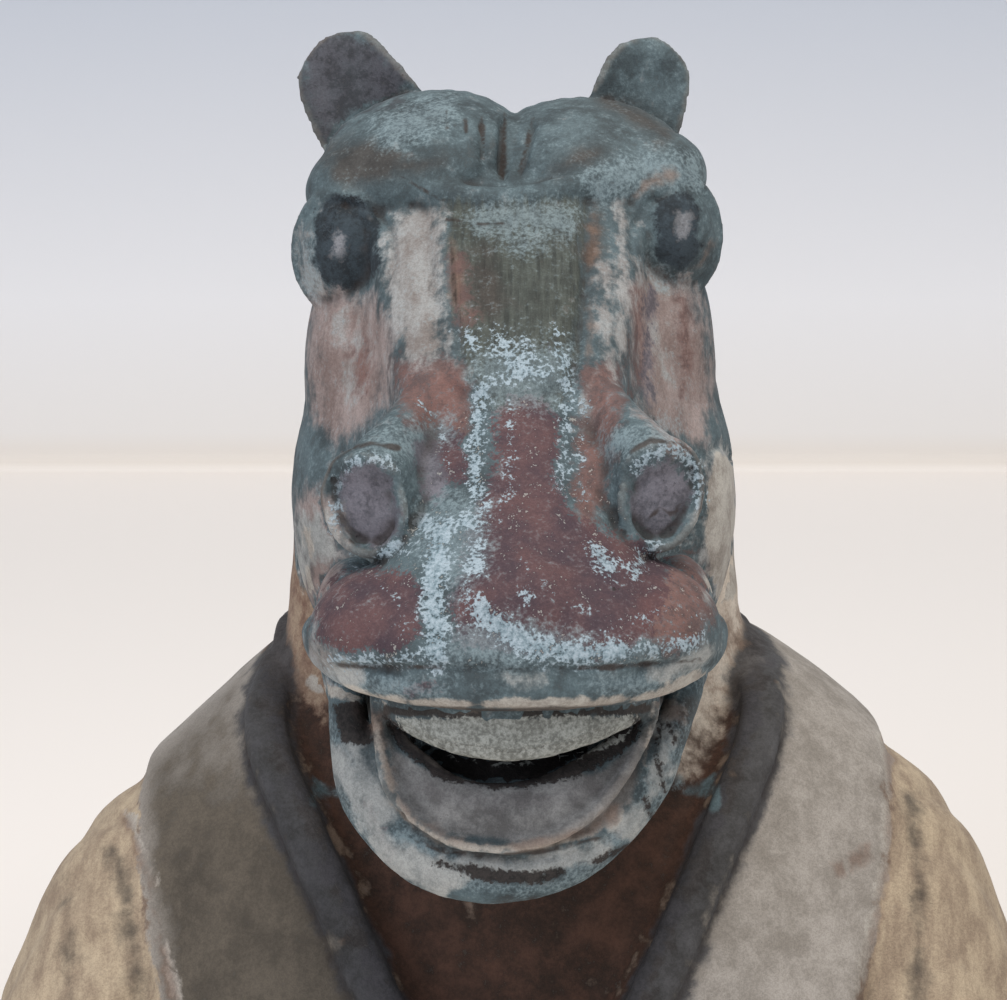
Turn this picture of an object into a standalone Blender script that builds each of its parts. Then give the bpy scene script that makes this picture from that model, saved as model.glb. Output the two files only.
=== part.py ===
"""Horse-headed zodiac figure in painted earthenware: the head, neck and robed shoulders of a standing
figure, cut flat across the chest. It was pressed and modelled in one piece, so it is one solid.

The figure looks along -Y, +Z is up, and the origin is below the middle of its bounding box, on the
level of the flat cut.
Each mass of clay starts as a ball that is drawn out, the masses are luted into one skin by a voxel
remesh, and the smaller forms are added to that skin and luted on in the same way.
"""

import math

import bmesh
import bpy
import numpy as np
from mathutils import Euler, Matrix, Vector

# Driving sizes, in metres.
BUST_HEIGHT = 0.178  # from the cut to the tips of the ears
HEIGHT_SHARES = 178  # the height is divided into this many shares, and the carving is stated in them
U = BUST_HEIGHT / HEIGHT_SHARES  # one share: 1 mm at the real height

# Places up the figure, in shares above the cut.
EYE_LINE = 147
NAPE = 80  # where the collar stands at the back of the neck
SHOULDER_DROP = 6  # the figure's right shoulder hangs this much lower than its left

# The head, in shares. It leans a little, so that its left eye is higher than its right.
HEAD_WIDTH = 66
HEAD_LEAN = 0.045  # rise for each share sideways
HEAD_SHIFT = 0.02  # and shift for each share of height over the mouth
JAW_LEAN = 0.09  # the lower lip rises this much for each share sideways
JAW_SHIFT = 1.0  # and hangs this far to its right side
MOUTH_HALF_WIDTH = 19
LIP_HALF_WIDTH = 28
NOSTRIL_SPREAD = 21
EYE_SPREAD = 24.2
EYE_RADIUS = 8.6
EAR_LENGTH = 29.6  # its right ear; the left one is shorter
EAR_HALF_WIDTH = 9.3

# The robe, in shares.
BORDER_WIDTH = 7
BORDER_RISE = 2.4

# Fineness of the skin, in shares, and the faces that it keeps down to just below the cut.
SOFT_VOXEL = 1.6
CRISP_VOXEL = 0.9
SOFT_ROUNDS = 8
CRISP_ROUNDS = 3
FACES = 10600

RIGHT = Vector((1, 0, 0))
FORWARD = Vector((0, -1, 0))
UP = Vector((0, 0, 1))


def head(x, y, z):
    """A point of the head, in metres, from shares measured from the middle of the eye line."""
    return Vector((x, y, z + EYE_LINE)) * U


def between(rows, share):
    """The row at this share of the way through rows, on a smooth curve through all of them."""
    place = min(max(share, 0), 1) * (len(rows) - 1)
    i = min(int(place), len(rows) - 2)
    t = place - i
    before, start, end, after = (rows[min(max(k, 0), len(rows) - 1)] for k in range(i - 1, i + 3))
    bend = 2 * before - 5 * start + 4 * end - after
    twist = 3 * start - before - 3 * end + after
    return 0.5 * (2 * start + (end - before) * t + bend * t**2 + twist * t**3)


def smooth_step(value, start, end):
    """0 at start, 1 at end, and smooth between."""
    t = min(1, max(0, (value - start) / (end - start)))
    return t * t * (3 - 2 * t)


def squared(angle, power):
    """Cosine and sine of a rounded square: power 2 is a circle, and higher is squarer."""
    c, s = math.cos(angle), math.sin(angle)
    return math.copysign(abs(c) ** (2 / power), c), math.copysign(abs(s) ** (2 / power), s)


def closing(share, steepness):
    """1 along the run of a drawn mass, falling round to 0 at both of its ends."""
    return min(1, steepness * share, steepness * (1 - share)) ** 0.5


def ball(clay, centre, radii, turn=(0, 0, 0)):
    """A ball of clay pressed to three radii, in shares, and turned by three angles in degrees."""
    turned = Euler([math.radians(a) for a in turn]).to_matrix().to_4x4()
    shape = Matrix.Translation(centre) @ turned @ Matrix.Diagonal((*(Vector(radii) * U), 1))
    bmesh.ops.create_uvsphere(clay, u_segments=40, v_segments=24, radius=1, matrix=shape)


def drawn(clay, place, around=48, along=40):
    """A ball of clay drawn out to place(share along, angle around), which gives each point in metres."""
    made = bmesh.ops.create_uvsphere(clay, u_segments=around, v_segments=along, radius=1)["verts"]
    for vert in made:
        share = math.acos(max(-1, min(1, vert.co.z))) / math.pi
        vert.co = place(share, math.atan2(vert.co.y, vert.co.x))


def rope(clay, rows, across=RIGHT, power=2.0, around=20, along=40):
    """A roll of clay along rows of (x, y, z, half width, half thickness), points in shares.
    Its width lies along the direction across, as near as the roll's own course allows."""
    path = np.asarray(rows, float)

    def place(share, angle):
        row = between(path, share)
        course = Vector((between(path, share + 0.01) - between(path, share - 0.01))[:3]).normalized()
        thin = course.cross(across).normalized()
        wide = thin.cross(course)
        c, s = squared(angle, power)
        return (Vector(row[:3]) + closing(share, 12) * (wide * c * row[3] + thin * s * row[4])) * U

    drawn(clay, place, around, along)


def ring(clay, middle, wide, tall, out, half_width, half_height, roll):
    """A closed roll of clay round an oval, from circles that are bridged one to the next."""
    steps, around = 40, 12
    circles = []
    for step in range(steps):
        turn = 2 * math.pi * step / steps
        spoke = wide * math.cos(turn) * half_width + tall * math.sin(turn) * half_height
        made = bmesh.ops.create_circle(clay, cap_ends=False, radius=1, segments=around)["verts"]
        for k, vert in enumerate(made):
            angle = 2 * math.pi * k / around
            swell = spoke.normalized() * math.cos(angle) + out * math.sin(angle)
            vert.co = (middle + spoke + swell * roll) * U
        circles.append(made)
    for k, these in enumerate(circles):
        those = circles[(k + 1) % steps]
        for j in range(around):
            i = (j + 1) % around
            clay.faces.new((these[j], these[i], those[i], those[j]))


def long_mass(clay, rows, around=56, along=60):
    """A mass of the head drawn along the depth. Each row is depth, top, underside, half width,
    squareness and how far the top is pinched in."""
    path = np.asarray(rows, float)

    def place(share, angle):
        depth, top, under, wide, power, pinch = between(path, share)
        c, s = squared(angle, power)
        wide *= (1 - pinch * max(0, s)) * closing(share, 14)
        return head(c * wide, depth, (top + under) / 2 + s * (top - under) / 2 * closing(share, 14))

    drawn(clay, place, around, along)


def upright_mass(clay, rows, power, warp=None, around=56, along=44):
    """A mass drawn down the figure. Each row is height above the cut, middle sideways, middle in
    depth, half width, and reach forward and back. warp moves a finished point."""
    path = np.asarray(rows, float)

    def place(share, angle):
        height, x, y, wide, front, back = between(path, share)
        c, s = squared(angle, power)
        size = closing(share, 14)
        point = Vector((x + c * wide * size, y + s * (back if s > 0 else front) * size, height))
        return (warp(point, s) if warp else point) * U

    drawn(clay, place, around, along)


def skull(clay):
    """The head from the poll to the upper lip."""
    half = HEAD_WIDTH / 2
    rows = [
        (34, 4, -18, 0.35 * half, 2.2, 0.0),
        (28, 14, -42, 0.74 * half, 2.4, 0.1),
        (14, 17.2, -58, 0.93 * half, 2.7, 0.15),
        (0, 15, -66, 0.97 * half, 2.8, 0.25),
        (-14, 7, -66, 0.88 * half, 2.8, 0.30),
        (-28, -4.5, -58, 0.70 * half, 2.8, 0.32),
        (-42, -15.6, -55, 0.57 * half, 2.8, 0.32),
        (-55, -25.4, -54.5, 0.58 * half, 2.5, 0.30),
        (-66, -33.8, -54, 0.66 * half, 2.3, 0.2),
        (-74, -41, -53, 0.60 * half, 2.2, 0.1),
        (-78.5, -47, -52, 0.40 * half, 2.0, 0.0),
    ]
    long_mass(clay, rows)


def lower_jaw(clay):
    """The lower jaw, which hangs open in front and meets the upper one behind the lips."""
    rows = [
        (16, -30, -64, 27, 2.4, 0),
        (-6, -38, -71, 27.5, 2.5, 0),
        (-24, -46, -77, 25.5, 2.5, 0),
        (-38, -53, -81.5, 23.2, 2.4, 0),
        (-50, -67, -85.5, 19.8, 2.3, 0),
        (-59, -73, -87, 15.2, 2.2, 0),
        (-63.5, -76, -84, 9, 2.0, 0),
    ]
    long_mass(clay, rows, 48, 40)


def cheek(clay, side):
    """The jowl, the cheek below the eye, the brow, and the bone from the eye to the nostril."""
    ball(clay, head(side * 24.5, 2, -42), (10.8, 25, 24))
    ball(clay, head(side * 23.5, 1, -22), (9.0, 17, 23))
    ball(clay, head(side * 22.5, 2.5, 9), (9.4, 11.5, 7.6), (0, side * 14, 0))
    bone = [
        (side * 20, -8, EYE_LINE - 4, 3.4, 3.2),
        (side * 17, -22, EYE_LINE - 11, 3.2, 3.2),
        (side * 14.5, -35, EYE_LINE - 18.5, 3, 3.4),
        (side * 14.5, -46, EYE_LINE - 26, 4, 5),
    ]
    rope(clay, bone)
    plane = [
        (side * 14.5, 4, EYE_LINE + 9, 8.5, 3.2),
        (side * 14, -7, EYE_LINE + 6.2, 8.5, 3.2),
        (side * 13.3, -18.5, EYE_LINE - 1.8, 7.6, 3.2),
        (side * 11.5, -31.5, EYE_LINE - 11.1, 6, 3.2),
        (side * 10.5, -43.5, EYE_LINE - 20.7, 4.8, 3.2),
    ]
    rope(clay, plane, Vector((1, 0, -0.2 * side)))
    ball(clay, head(side * 13, -47, -32), (6.5, 9, 8.5))


def neck(clay):
    """The neck and chest inside the robe."""
    rows = [
        (150, 0, 20, 18, 12, 12),
        (132, 0, 20, 30, 20, 17),
        (112, 0, 19, 35, 22, 22),
        (92, 0, 19, 36.5, 22, 26),
        (76, 0, 17, 38, 24, 30),
        (58, 0, 13, 40, 28, 32),
        (36, 0, 10, 42, 33, 34),
        (10, 0, 8, 44, 36, 36),
        (-16, 0, 8, 44, 36, 36),
    ]
    upright_mass(clay, rows, 2.2)


ROBE = [
    (83, 0, 20, 28, 16, 25),
    (79.5, 0, 19, 38, 21, 29),
    (74.5, 0, 18, 47, 26, 32),
    (67, 0, 17, 57, 30, 35),
    (60, 0, 15.5, 64, 33, 37),
    (48, 0, 13.5, 70, 37, 39),
    (30, 0, 10, 73, 43, 42),
    (10, 0, 8, 73, 48, 44),
    (-16, 0, 8, 73, 50, 44),
]
ROBE_POWER = 2.35


def opening_half_width(height):
    """Half the width of the robe's V-shaped opening at a height, in shares."""
    return float(np.interp(height, (4, 18, 30, 42, 54, 66, 77), (0, 8.5, 16, 22.5, 28.5, 34.5, 39)))


def panel_half_width(height):
    """How far out the shoulder panel reaches at a height, in shares, before the sleeve shows."""
    return float(np.interp(height, (0, 26, 50, 62), (49, 54, 59.5, 61)))


def robe_front(x, height):
    """Depth of the robe's front at a point, in shares."""
    heights = [row[0] for row in ROBE[::-1]]
    middle, wide, front = (np.interp(height, heights, [row[k] for row in ROBE[::-1]]) for k in (2, 3, 4))
    inward = max(0, 1 - (abs(x) / wide) ** ROBE_POWER)
    return float(middle - front * inward ** (1 / ROBE_POWER))


def hang(x, height):
    """How much lower the figure's right side hangs at a point, in shares."""
    return SHOULDER_DROP * smooth_step(-x, 26, 58) * smooth_step(height, 5, 45)


def robe(clay):
    """The robe's panel over both shoulders, sunk in front inside its V-shaped opening."""

    def warp(point, s):
        x, y, height = point
        edge = panel_half_width(height)
        x = min(edge, max(-edge, x))
        inside = smooth_step(opening_half_width(height) - abs(x), -1, 2) * smooth_step(-s, 0, 0.2)
        return Vector((x, y + 11 * inside, height - hang(x, height)))

    upright_mass(clay, ROBE, ROBE_POWER, warp, 120, 80)


def sleeve(clay, side):
    """The upper arm in its wide sleeve, which comes out from under the shoulder panel."""
    rows = [
        (60, side * 55, 14, 7, 11, 12),
        (53.5, side * 58.5, 13.5, 11.5, 17, 18),
        (45, side * 61, 12, 15.5, 22.5, 24),
        (36, side * 63, 10, 17.2, 26, 27),
        (20, side * 65.5, 6, 20, 29, 31),
        (0, side * 67, 2, 21, 31, 35),
        (-24, side * 67, 0, 21, 31, 36),
    ]

    def warp(point, s):
        return Vector((point.x, point.y, point.z - hang(point.x, point.z)))

    upright_mass(clay, rows, 2.2, warp, 48, 40)


def eye(clay, side):
    """The eyeball, set to look forward and outward, with a rolled lid round it."""
    out = Vector((side * 0.52, -0.85, 0.05)).normalized()
    wide = UP.cross(out).normalized()
    tall = out.cross(wide)
    middle = Vector((side * EYE_SPREAD, -4.8, EYE_LINE))
    ball(clay, (middle - out * 0.8) * U, (EYE_RADIUS, EYE_RADIUS, 1.12 * EYE_RADIUS))
    ring(clay, middle + out * 3.3, wide, tall, out, 0.86 * EYE_RADIUS, 1.02 * EYE_RADIUS, 1.5)


def nostril(clay, side):
    """A flared nostril that comes down from the nose, with a rim round a shallow dish."""
    horn = [
        (side * 12.5, -35, EYE_LINE - 16.5, 2.2, 2.6),
        (side * 15, -43, EYE_LINE - 21.5, 3.6, 4.4),
        (side * 18.2, -50.5, EYE_LINE - 26, 5.2, 6.6),
        (side * 20.6, -56.5, EYE_LINE - 29.2, 6.2, 7.9),
    ]
    rope(clay, horn, RIGHT, power=2.1, around=28)
    out = Vector((side * 0.36, -0.9, 0.16)).normalized()
    lean = math.radians(20 * side)
    tall = (UP * math.cos(lean) + RIGHT * math.sin(lean)).normalized()
    tall = (tall - out * tall.dot(out)).normalized()
    wide = tall.cross(out)
    middle = Vector((side * NOSTRIL_SPREAD, -57, EYE_LINE - 29.5))
    ball(clay, (middle - out * 4.0) * U, (7.0, 4.7, 8.7), (0, side * 20, side * 22))
    ring(clay, middle, wide, tall, out, 5.8, 7.5, 1.1)


def muzzle(clay):
    """The upper lip: a full middle, a lobe under each nostril, the rolled edge, and the gum below."""
    ball(clay, head(0, -61, -45), (17, 15.5, 11.4))
    for side in (-1, 1):
        ball(clay, head(side * 17, -59, -47), (12.5, 14.5, 8.6), (0, side * 9, 0))
        ball(clay, head(side * 23.5, -47, -48), (5.5, 12, 7.5))
    half = [
        (-1, -47, -49.5, 3.0, 3.0),
        (-0.94, -58, -51.2, 3.6, 3.2),
        (-0.62, -70, -52, 3.6, 3.2),
        (0, -75.5, -52, 3.6, 3.2),
    ]
    rope(clay, both_ways(half, LIP_HALF_WIDTH), UP, along=60, around=24)
    gum = [
        (-1, -53, -55.8, 2.5, 4.3),
        (-0.8, -62.5, -56.4, 2.5, 5.2),
        (-0.4, -67.8, -57.8, 2.5, 5.8),
        (0, -69.3, -58.4, 2.5, 6.2),
    ]
    rope(clay, both_ways(gum, MOUTH_HALF_WIDTH), FORWARD, power=2.6, along=60, around=20)


def both_ways(half, spread):
    """Rows for a roll from one side of the head to the other, from those up to the middle."""
    left = [(x * spread, y, EYE_LINE + z, a, b) for x, y, z, a, b in half]
    right = [(-x * spread, y, EYE_LINE + z, a, b) for x, y, z, a, b in half[-2::-1]]
    return left + right


def mouth(clay):
    """The lower lip: an outer band, a raised inner edge that runs up to the upper lip at the
    corners, and the sloping plate of the lower gum inside it. The corners are closed behind."""
    for side in (-1, 1):
        ball(clay, head(side * 24.5, -39, -57), (4.5, 9, 8))
    edge = [
        (-1.06, -55.5, -53, 1.0, 1.3),
        (-1.01, -59.5, -62, 1.0, 1.3),
        (-0.85, -63.2, -70, 1.0, 1.3),
        (-0.5, -66.8, -75.6, 1.0, 1.3),
        (0, -68.3, -77.8, 1.0, 1.3),
    ]
    rope(clay, both_ways(edge, MOUTH_HALF_WIDTH), UP, along=72, around=14)
    plate = [
        (-1.0, -54.5, -61, 2.6, 1.8),
        (-0.95, -57, -64.5, 3.2, 1.8),
        (-0.8, -60.5, -68.5, 4.4, 1.8),
        (-0.45, -64, -72.6, 4.9, 1.8),
        (0, -65, -74.2, 5.0, 1.8),
    ]
    rope(clay, both_ways(plate, MOUTH_HALF_WIDTH), Vector((0, 0.35, 1)).normalized(), along=72)
    band = [
        (-1.38, -42, -52, 2.6, 2.4),
        (-1.30, -49, -60, 3.4, 2.6),
        (-1.10, -56.5, -71, 4.4, 3.0),
        (-0.60, -62, -79.6, 5.0, 3.4),
        (0, -64, -82, 5.2, 3.6),
    ]
    rope(clay, both_ways(band, MOUTH_HALF_WIDTH), UP, along=72, around=24)


def ear(clay, root, lean, length, widths):
    """A leaf of clay for an ear, hollowed in front. widths are shares of its half width, upward."""
    outward = math.copysign(1, root.x)
    tilt = math.radians(lean)
    along = Vector((outward * math.sin(tilt), 0.04, math.cos(tilt)))
    wide = Vector((along.z, 0.12 * outward, -along.x)).normalized()
    front = wide.cross(along).normalized()
    front = front if front.dot(FORWARD) > 0 else -front
    rows = np.asarray([(half, 3.3 - 0.35 * k) for k, half in enumerate(widths)])

    def place(share, angle):
        half, thick = between(rows, share)
        c, s = math.cos(angle), math.sin(angle)
        curl = 3.4 * c * c * math.sin(math.pi * min(1, share * 1.05))
        flat = wide * c * EAR_HALF_WIDTH * half * closing(share, 10)
        point = root + along * length * (share - 0.12) + flat
        return head(*(point + front * (s * thick * closing(share, 10) * 0.9 + curl)))

    drawn(clay, place, 36, 30)


def forelock(clay):
    """The mane combed over the brow in two lobes, and the flat lock that hangs down the nose."""
    for side in (-1, 1):
        ball(clay, head(side * 13, 5, 12.3 - side * 1.1), (16, 18, 8.3), (14, side * 7, 0))
    roll = [
        (-25, 3, EYE_LINE + 12.4, 2.2, 2.0),
        (-15, -9.3, EYE_LINE + 9.8, 2.4, 2.2),
        (0, -13.8, EYE_LINE + 7.4, 2.4, 2.2),
        (15, -9.3, EYE_LINE + 9.8, 2.4, 2.2),
        (25, 3, EYE_LINE + 12.4, 2.2, 2.0),
    ]
    rope(clay, roll, UP, along=60)
    lock = [
        (0, -6, EYE_LINE + 11.0, 12.5, 2.0),
        (0, -18, EYE_LINE + 2.8, 11.2, 1.9),
        (0, -31, EYE_LINE - 7.0, 10, 1.7),
        (0, -44, EYE_LINE - 17.4, 8.2, 1.4),
    ]
    rope(clay, lock, RIGHT, power=3.0, around=28)


def mane(clay):
    """The cropped mane down the back of the neck."""
    rows = [
        (0, 22, EYE_LINE + 12, 5, 5),
        (0, 33, EYE_LINE + 4, 5, 6),
        (0, 40.5, EYE_LINE - 20, 4.6, 6),
        (0, 44, EYE_LINE - 42, 4.4, 5),
        (0, 47, EYE_LINE - 64, 4.2, 4),
    ]
    rope(clay, rows, RIGHT, around=24)


def border(clay, side):
    """The border of the robe's opening, down one side of the chest."""
    rows = [(side * 38.8, 17, 76.5, BORDER_WIDTH / 2, BORDER_RISE)]
    for height in (70, 58, 46, 34, 22, 10, -2, -14):
        x = side * (opening_half_width(height) + BORDER_WIDTH / 2) - side * 0.55 * max(0, 4 - height)
        depth = robe_front(x, height)
        rows.append((x, depth, height - hang(x, height), BORDER_WIDTH / 2, BORDER_RISE))
    rope(clay, rows, RIGHT, power=3.2, along=80, around=24)


def collar(clay):
    """The border where it stands round the back of the neck."""
    rows = []
    for step in range(9):
        turn = math.pi * step / 8
        x, y = 38.8 * math.cos(turn), 17 + 31.5 * math.sin(turn)
        rows.append((x, y, NAPE - 4 + 3 * math.sin(turn), BORDER_WIDTH / 2, BORDER_RISE))
    rope(clay, rows, UP, power=3.2, along=80, around=24)


def keep_outer_shell(clay):
    """Deletes every shell but the largest, so that no closed pocket is left inside."""
    unseen, shells = set(clay.verts), []
    while unseen:
        start = unseen.pop()
        shell, open_ends = [start], [start]
        while open_ends:
            vert = open_ends.pop()
            for edge in vert.link_edges:
                other = edge.other_vert(vert)
                if other in unseen:
                    unseen.discard(other)
                    shell.append(other)
                    open_ends.append(other)
        shells.append(shell)
    largest = max(shells, key=len)
    spare = [vert for shell in shells if shell is not largest for vert in shell]
    bmesh.ops.delete(clay, geom=spare, context="VERTS")


def with_modifiers(clay, steps):
    """The clay after modifiers, each given as its kind and its settings."""
    mesh = bpy.data.meshes.new("clay")
    clay.to_mesh(mesh)
    clay.free()
    obj = bpy.data.objects.new("clay", mesh)
    bpy.context.scene.collection.objects.link(obj)
    for kind, settings in steps:
        modifier = obj.modifiers.new(kind.lower(), kind)
        for name, value in settings.items():
            setattr(modifier, name, value)
    graph = bpy.context.evaluated_depsgraph_get()
    made = bmesh.new()
    made.from_mesh(obj.evaluated_get(graph).to_mesh())
    bpy.data.objects.remove(obj)
    return made


def luted(clay, voxel, rounds):
    """The clay as one skin: voxels of this size in shares, then rounds of smoothing."""
    remesh = ("REMESH", {"mode": "VOXEL", "voxel_size": voxel * U})
    skin = with_modifiers(clay, [remesh, ("SMOOTH", {"factor": 0.5, "iterations": round(rounds)})])
    keep_outer_shell(skin)
    return skin


def lean_head(clay):
    """Leans the head a little toward one side, less and less down to the mouth, and tips the lower
    lip the same way."""
    for vert in clay.verts:
        above = vert.co.z / U - (EYE_LINE - 55)
        share = smooth_step(above, 0, 40)
        vert.co.z += vert.co.x * HEAD_LEAN * share
        vert.co.x -= above * U * HEAD_SHIFT * share
        x, y, z = vert.co / U
        share = smooth_step(-above, 4, 16) * smooth_step(z, 52, 58) * smooth_step(-y, 18, 36)
        vert.co += Vector((-JAW_SHIFT, 0, x * JAW_LEAN)) * U * share


def flat_cut(clay):
    """Cuts the skin off level at the origin's height and closes the cut."""
    geometry = clay.verts[:] + clay.edges[:] + clay.faces[:]
    bmesh.ops.bisect_plane(clay, geom=geometry, plane_co=(0, 0, 0), plane_no=(0, 0, -1), clear_outer=True)
    rim = [edge for edge in clay.edges if edge.is_boundary]
    bmesh.ops.edgeloop_fill(clay, edges=rim)
    bmesh.ops.triangulate(clay, faces=clay.faces[:])
    bmesh.ops.recalc_face_normals(clay, faces=clay.faces[:])


def stood(clay):
    """Moves the bust level, until the middle of its bounding box stands over the origin."""
    places = np.array([vert.co for vert in clay.verts])
    middle = (places.min(axis=0) + places.max(axis=0)) / 2
    bmesh.ops.translate(clay, verts=clay.verts[:], vec=(-middle[0], -middle[1], 0))


def thinned(clay, most):
    """The skin in triangles, with its flatter stretches thinned down to this many."""
    bmesh.ops.triangulate(clay, faces=clay.faces[:])
    share = min(1, most / len(clay.faces))
    return with_modifiers(clay, [("DECIMATE", {"ratio": share})])


def earthenware():
    """Matt fired clay under worn cold paint."""
    made = bpy.data.materials.new("painted_earthenware")
    made.use_nodes = True
    shader = made.node_tree.nodes["Principled BSDF"]
    shader.inputs["Base Color"].default_value = (0.20, 0.17, 0.16, 1)
    shader.inputs["Roughness"].default_value = 0.75
    shader.inputs["Metallic"].default_value = 0
    return made


def main():
    for obj in list(bpy.data.objects):
        bpy.data.objects.remove(obj)
    clay = bmesh.new()
    skull(clay)
    neck(clay)
    robe(clay)
    lower_jaw(clay)
    for side in (-1, 1):
        cheek(clay, side)
        sleeve(clay, side)
    body = bpy.data.meshes.new("body")
    luted(clay, SOFT_VOXEL, SOFT_ROUNDS).to_mesh(body)
    clay = bmesh.new()
    forelock(clay)
    mane(clay)
    muzzle(clay)
    mouth(clay)
    collar(clay)
    ear(clay, Vector((-15.5, 22, 8.8)), 32, EAR_LENGTH, (0.85, 0.98, 1.02, 0.98, 0.86, 0.62))
    ear(clay, Vector((17.4, 22, 8.7)), 21, 0.82 * EAR_LENGTH, (0.7, 0.85, 0.88, 0.86, 0.76, 0.45))
    for side in (-1, 1):
        eye(clay, side)
        nostril(clay, side)
        border(clay, side)
    clay.from_mesh(body)
    clay = luted(clay, CRISP_VOXEL, CRISP_ROUNDS)
    lean_head(clay)
    clay = thinned(clay, FACES)
    flat_cut(clay)
    stood(clay)
    mesh = bpy.data.meshes.new("zodiac_bust")
    clay.to_mesh(mesh)
    clay.free()
    mesh.materials.append(earthenware())
    bust = bpy.data.objects.new("zodiac_bust", mesh)
    bpy.context.scene.collection.objects.link(bust)
    mesh.shade_smooth()
    mesh.set_sharp_from_angle(angle=math.radians(50))


main()
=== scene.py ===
"""A horse-headed zodiac figure in cold-painted earthenware: head, neck and robed shoulders as a bust."""

import math

import bmesh
import bpy
import numpy as np
from mathutils import Matrix, Vector, noise


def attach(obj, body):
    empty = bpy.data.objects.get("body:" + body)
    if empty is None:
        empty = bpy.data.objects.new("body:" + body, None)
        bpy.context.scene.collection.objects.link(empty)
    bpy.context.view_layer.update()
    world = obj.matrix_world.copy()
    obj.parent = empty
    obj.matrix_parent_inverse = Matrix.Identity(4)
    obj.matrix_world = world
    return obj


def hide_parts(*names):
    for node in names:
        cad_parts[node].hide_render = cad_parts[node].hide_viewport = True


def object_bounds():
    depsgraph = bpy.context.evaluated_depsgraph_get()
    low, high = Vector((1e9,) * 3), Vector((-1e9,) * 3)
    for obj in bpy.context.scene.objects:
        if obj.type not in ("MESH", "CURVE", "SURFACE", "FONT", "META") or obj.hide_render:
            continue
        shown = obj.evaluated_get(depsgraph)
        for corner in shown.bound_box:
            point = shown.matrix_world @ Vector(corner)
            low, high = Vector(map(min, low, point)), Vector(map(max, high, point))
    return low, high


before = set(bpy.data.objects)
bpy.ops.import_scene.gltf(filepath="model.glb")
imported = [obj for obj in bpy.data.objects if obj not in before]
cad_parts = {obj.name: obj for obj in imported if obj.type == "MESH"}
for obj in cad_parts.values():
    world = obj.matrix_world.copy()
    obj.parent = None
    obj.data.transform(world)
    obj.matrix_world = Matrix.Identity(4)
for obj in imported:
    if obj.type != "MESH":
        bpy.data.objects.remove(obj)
cad_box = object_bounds()


# ---------------------------------------------------------------- floor and backdrop
# A pale sheet of uncoated card lies under the bust and turns up softly behind it. It is matt, so it
# gives the eye no shine. Its colour holds painted shade: a darker band in the turn, and darker and
# bluer towards the top.


def linear(hex_colour):
    """The linear colour, with alpha, of an sRGB hex value."""
    parts = [int(hex_colour[k : k + 2], 16) / 255 for k in (1, 3, 5)]
    return (*(c / 12.92 if c <= 0.04045 else ((c + 0.055) / 1.055) ** 2.4 for c in parts), 1.0)


def add(tree, kind, settings=None, **links):
    """Adds a node with its settings. links give a socket's value or the socket that feeds it."""
    made = tree.nodes.new(kind)
    for name, value in (settings or {}).items():
        setattr(made, name, value)
    for name, value in links.items():
        key = int(name[1:]) if name[0] == "_" and name[1:].isdigit() else name.replace("_", " ")
        socket = made.inputs[key]
        if isinstance(value, bpy.types.NodeSocket):
            tree.links.new(value, socket)
        else:
            socket.default_value = value
    return made


def new_material(name):
    """An empty material: its tree, and its Principled shader."""
    made = bpy.data.materials.new(name)
    made.use_nodes = True
    return made, made.node_tree, made.node_tree.nodes["Principled BSDF"]


WALL_DEPTH = 0.555  # where the card turns up
WALL_HEIGHT = 0.16  # just over what the picture shows
TURN_RADIUS = 0.006
card, tree, shader = new_material("matt_card")
shader.inputs["Roughness"].default_value = 0.9
shader.inputs["Specular IOR Level"].default_value = 0.2
place = add(tree, "ShaderNodeNewGeometry").outputs["Position"]
height = add(tree, "ShaderNodeSeparateXYZ", Vector=place).outputs["Z"]
share = add(tree, "ShaderNodeMapRange", {"clamp": True}, Value=height, From_Min=0.0, From_Max=0.15).outputs[0]
ramp = add(tree, "ShaderNodeValToRGB", Fac=share)
stops = ramp.color_ramp.elements
stops[0].position, stops[0].color = 0.0, linear("#efe9e3")
stops[1].position, stops[1].color = 1.0, linear("#c0c6d0")
# Painted shade: darker where the card turns up, and darker and bluer towards the top.
for position, shade in ((0.015, "#e0d9d1"), (0.08, "#e3e1df"), (0.36, "#e2e3e6")):
    stops.new(position).color = linear(shade)
tree.links.new(ramp.outputs["Color"], shader.inputs["Base Color"])

sheet = bmesh.new()
profile = [(-3.0, 0.0)]
for step in range(9):
    turn = math.radians(90 * step / 8)
    across = WALL_DEPTH - TURN_RADIUS + TURN_RADIUS * math.sin(turn)
    profile.append((across, TURN_RADIUS * (1 - math.cos(turn))))
profile.append((WALL_DEPTH, WALL_HEIGHT))
points = [sheet.verts.new((-3.0, y, z)) for y, z in profile]
edges = [sheet.edges.new(pair) for pair in zip(points, points[1:])]
grown = bmesh.ops.extrude_edge_only(sheet, edges=edges)["geom"]
bmesh.ops.translate(sheet, verts=[v for v in grown if isinstance(v, bmesh.types.BMVert)], vec=(6, 0, 0))
bmesh.ops.recalc_face_normals(sheet, faces=sheet.faces[:])
mesh = bpy.data.meshes.new("floor")
sheet.to_mesh(mesh)
sheet.free()
mesh.materials.append(card)
floor = bpy.data.objects.new("floor", mesh)
bpy.context.scene.collection.objects.link(floor)


# ---------------------------------------------------------------- light and camera
# Soft daylight from above and a little in front, and the view of the photograph: a long lens from
# about 12 degrees above level.

world = bpy.data.worlds.new("daylight")
bpy.context.scene.world = world
world.use_nodes = True
world.node_tree.nodes["Background"].inputs["Color"].default_value = linear("#e4e9f2")
world.node_tree.nodes["Background"].inputs["Strength"].default_value = 0.62
bpy.context.scene.view_settings.view_transform = "Standard"


def soft_light(name, place, aim, size, watts, colour):
    lamp = bpy.data.lights.new(name, "AREA")
    lamp.shape, lamp.size, lamp.energy, lamp.color = "DISK", size, watts, linear(colour)[:3]
    obj = bpy.data.objects.new(name, lamp)
    bpy.context.scene.collection.objects.link(obj)
    obj.location = place
    obj.rotation_euler = (Vector(aim) - Vector(place)).to_track_quat("-Z", "Y").to_euler()


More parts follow.
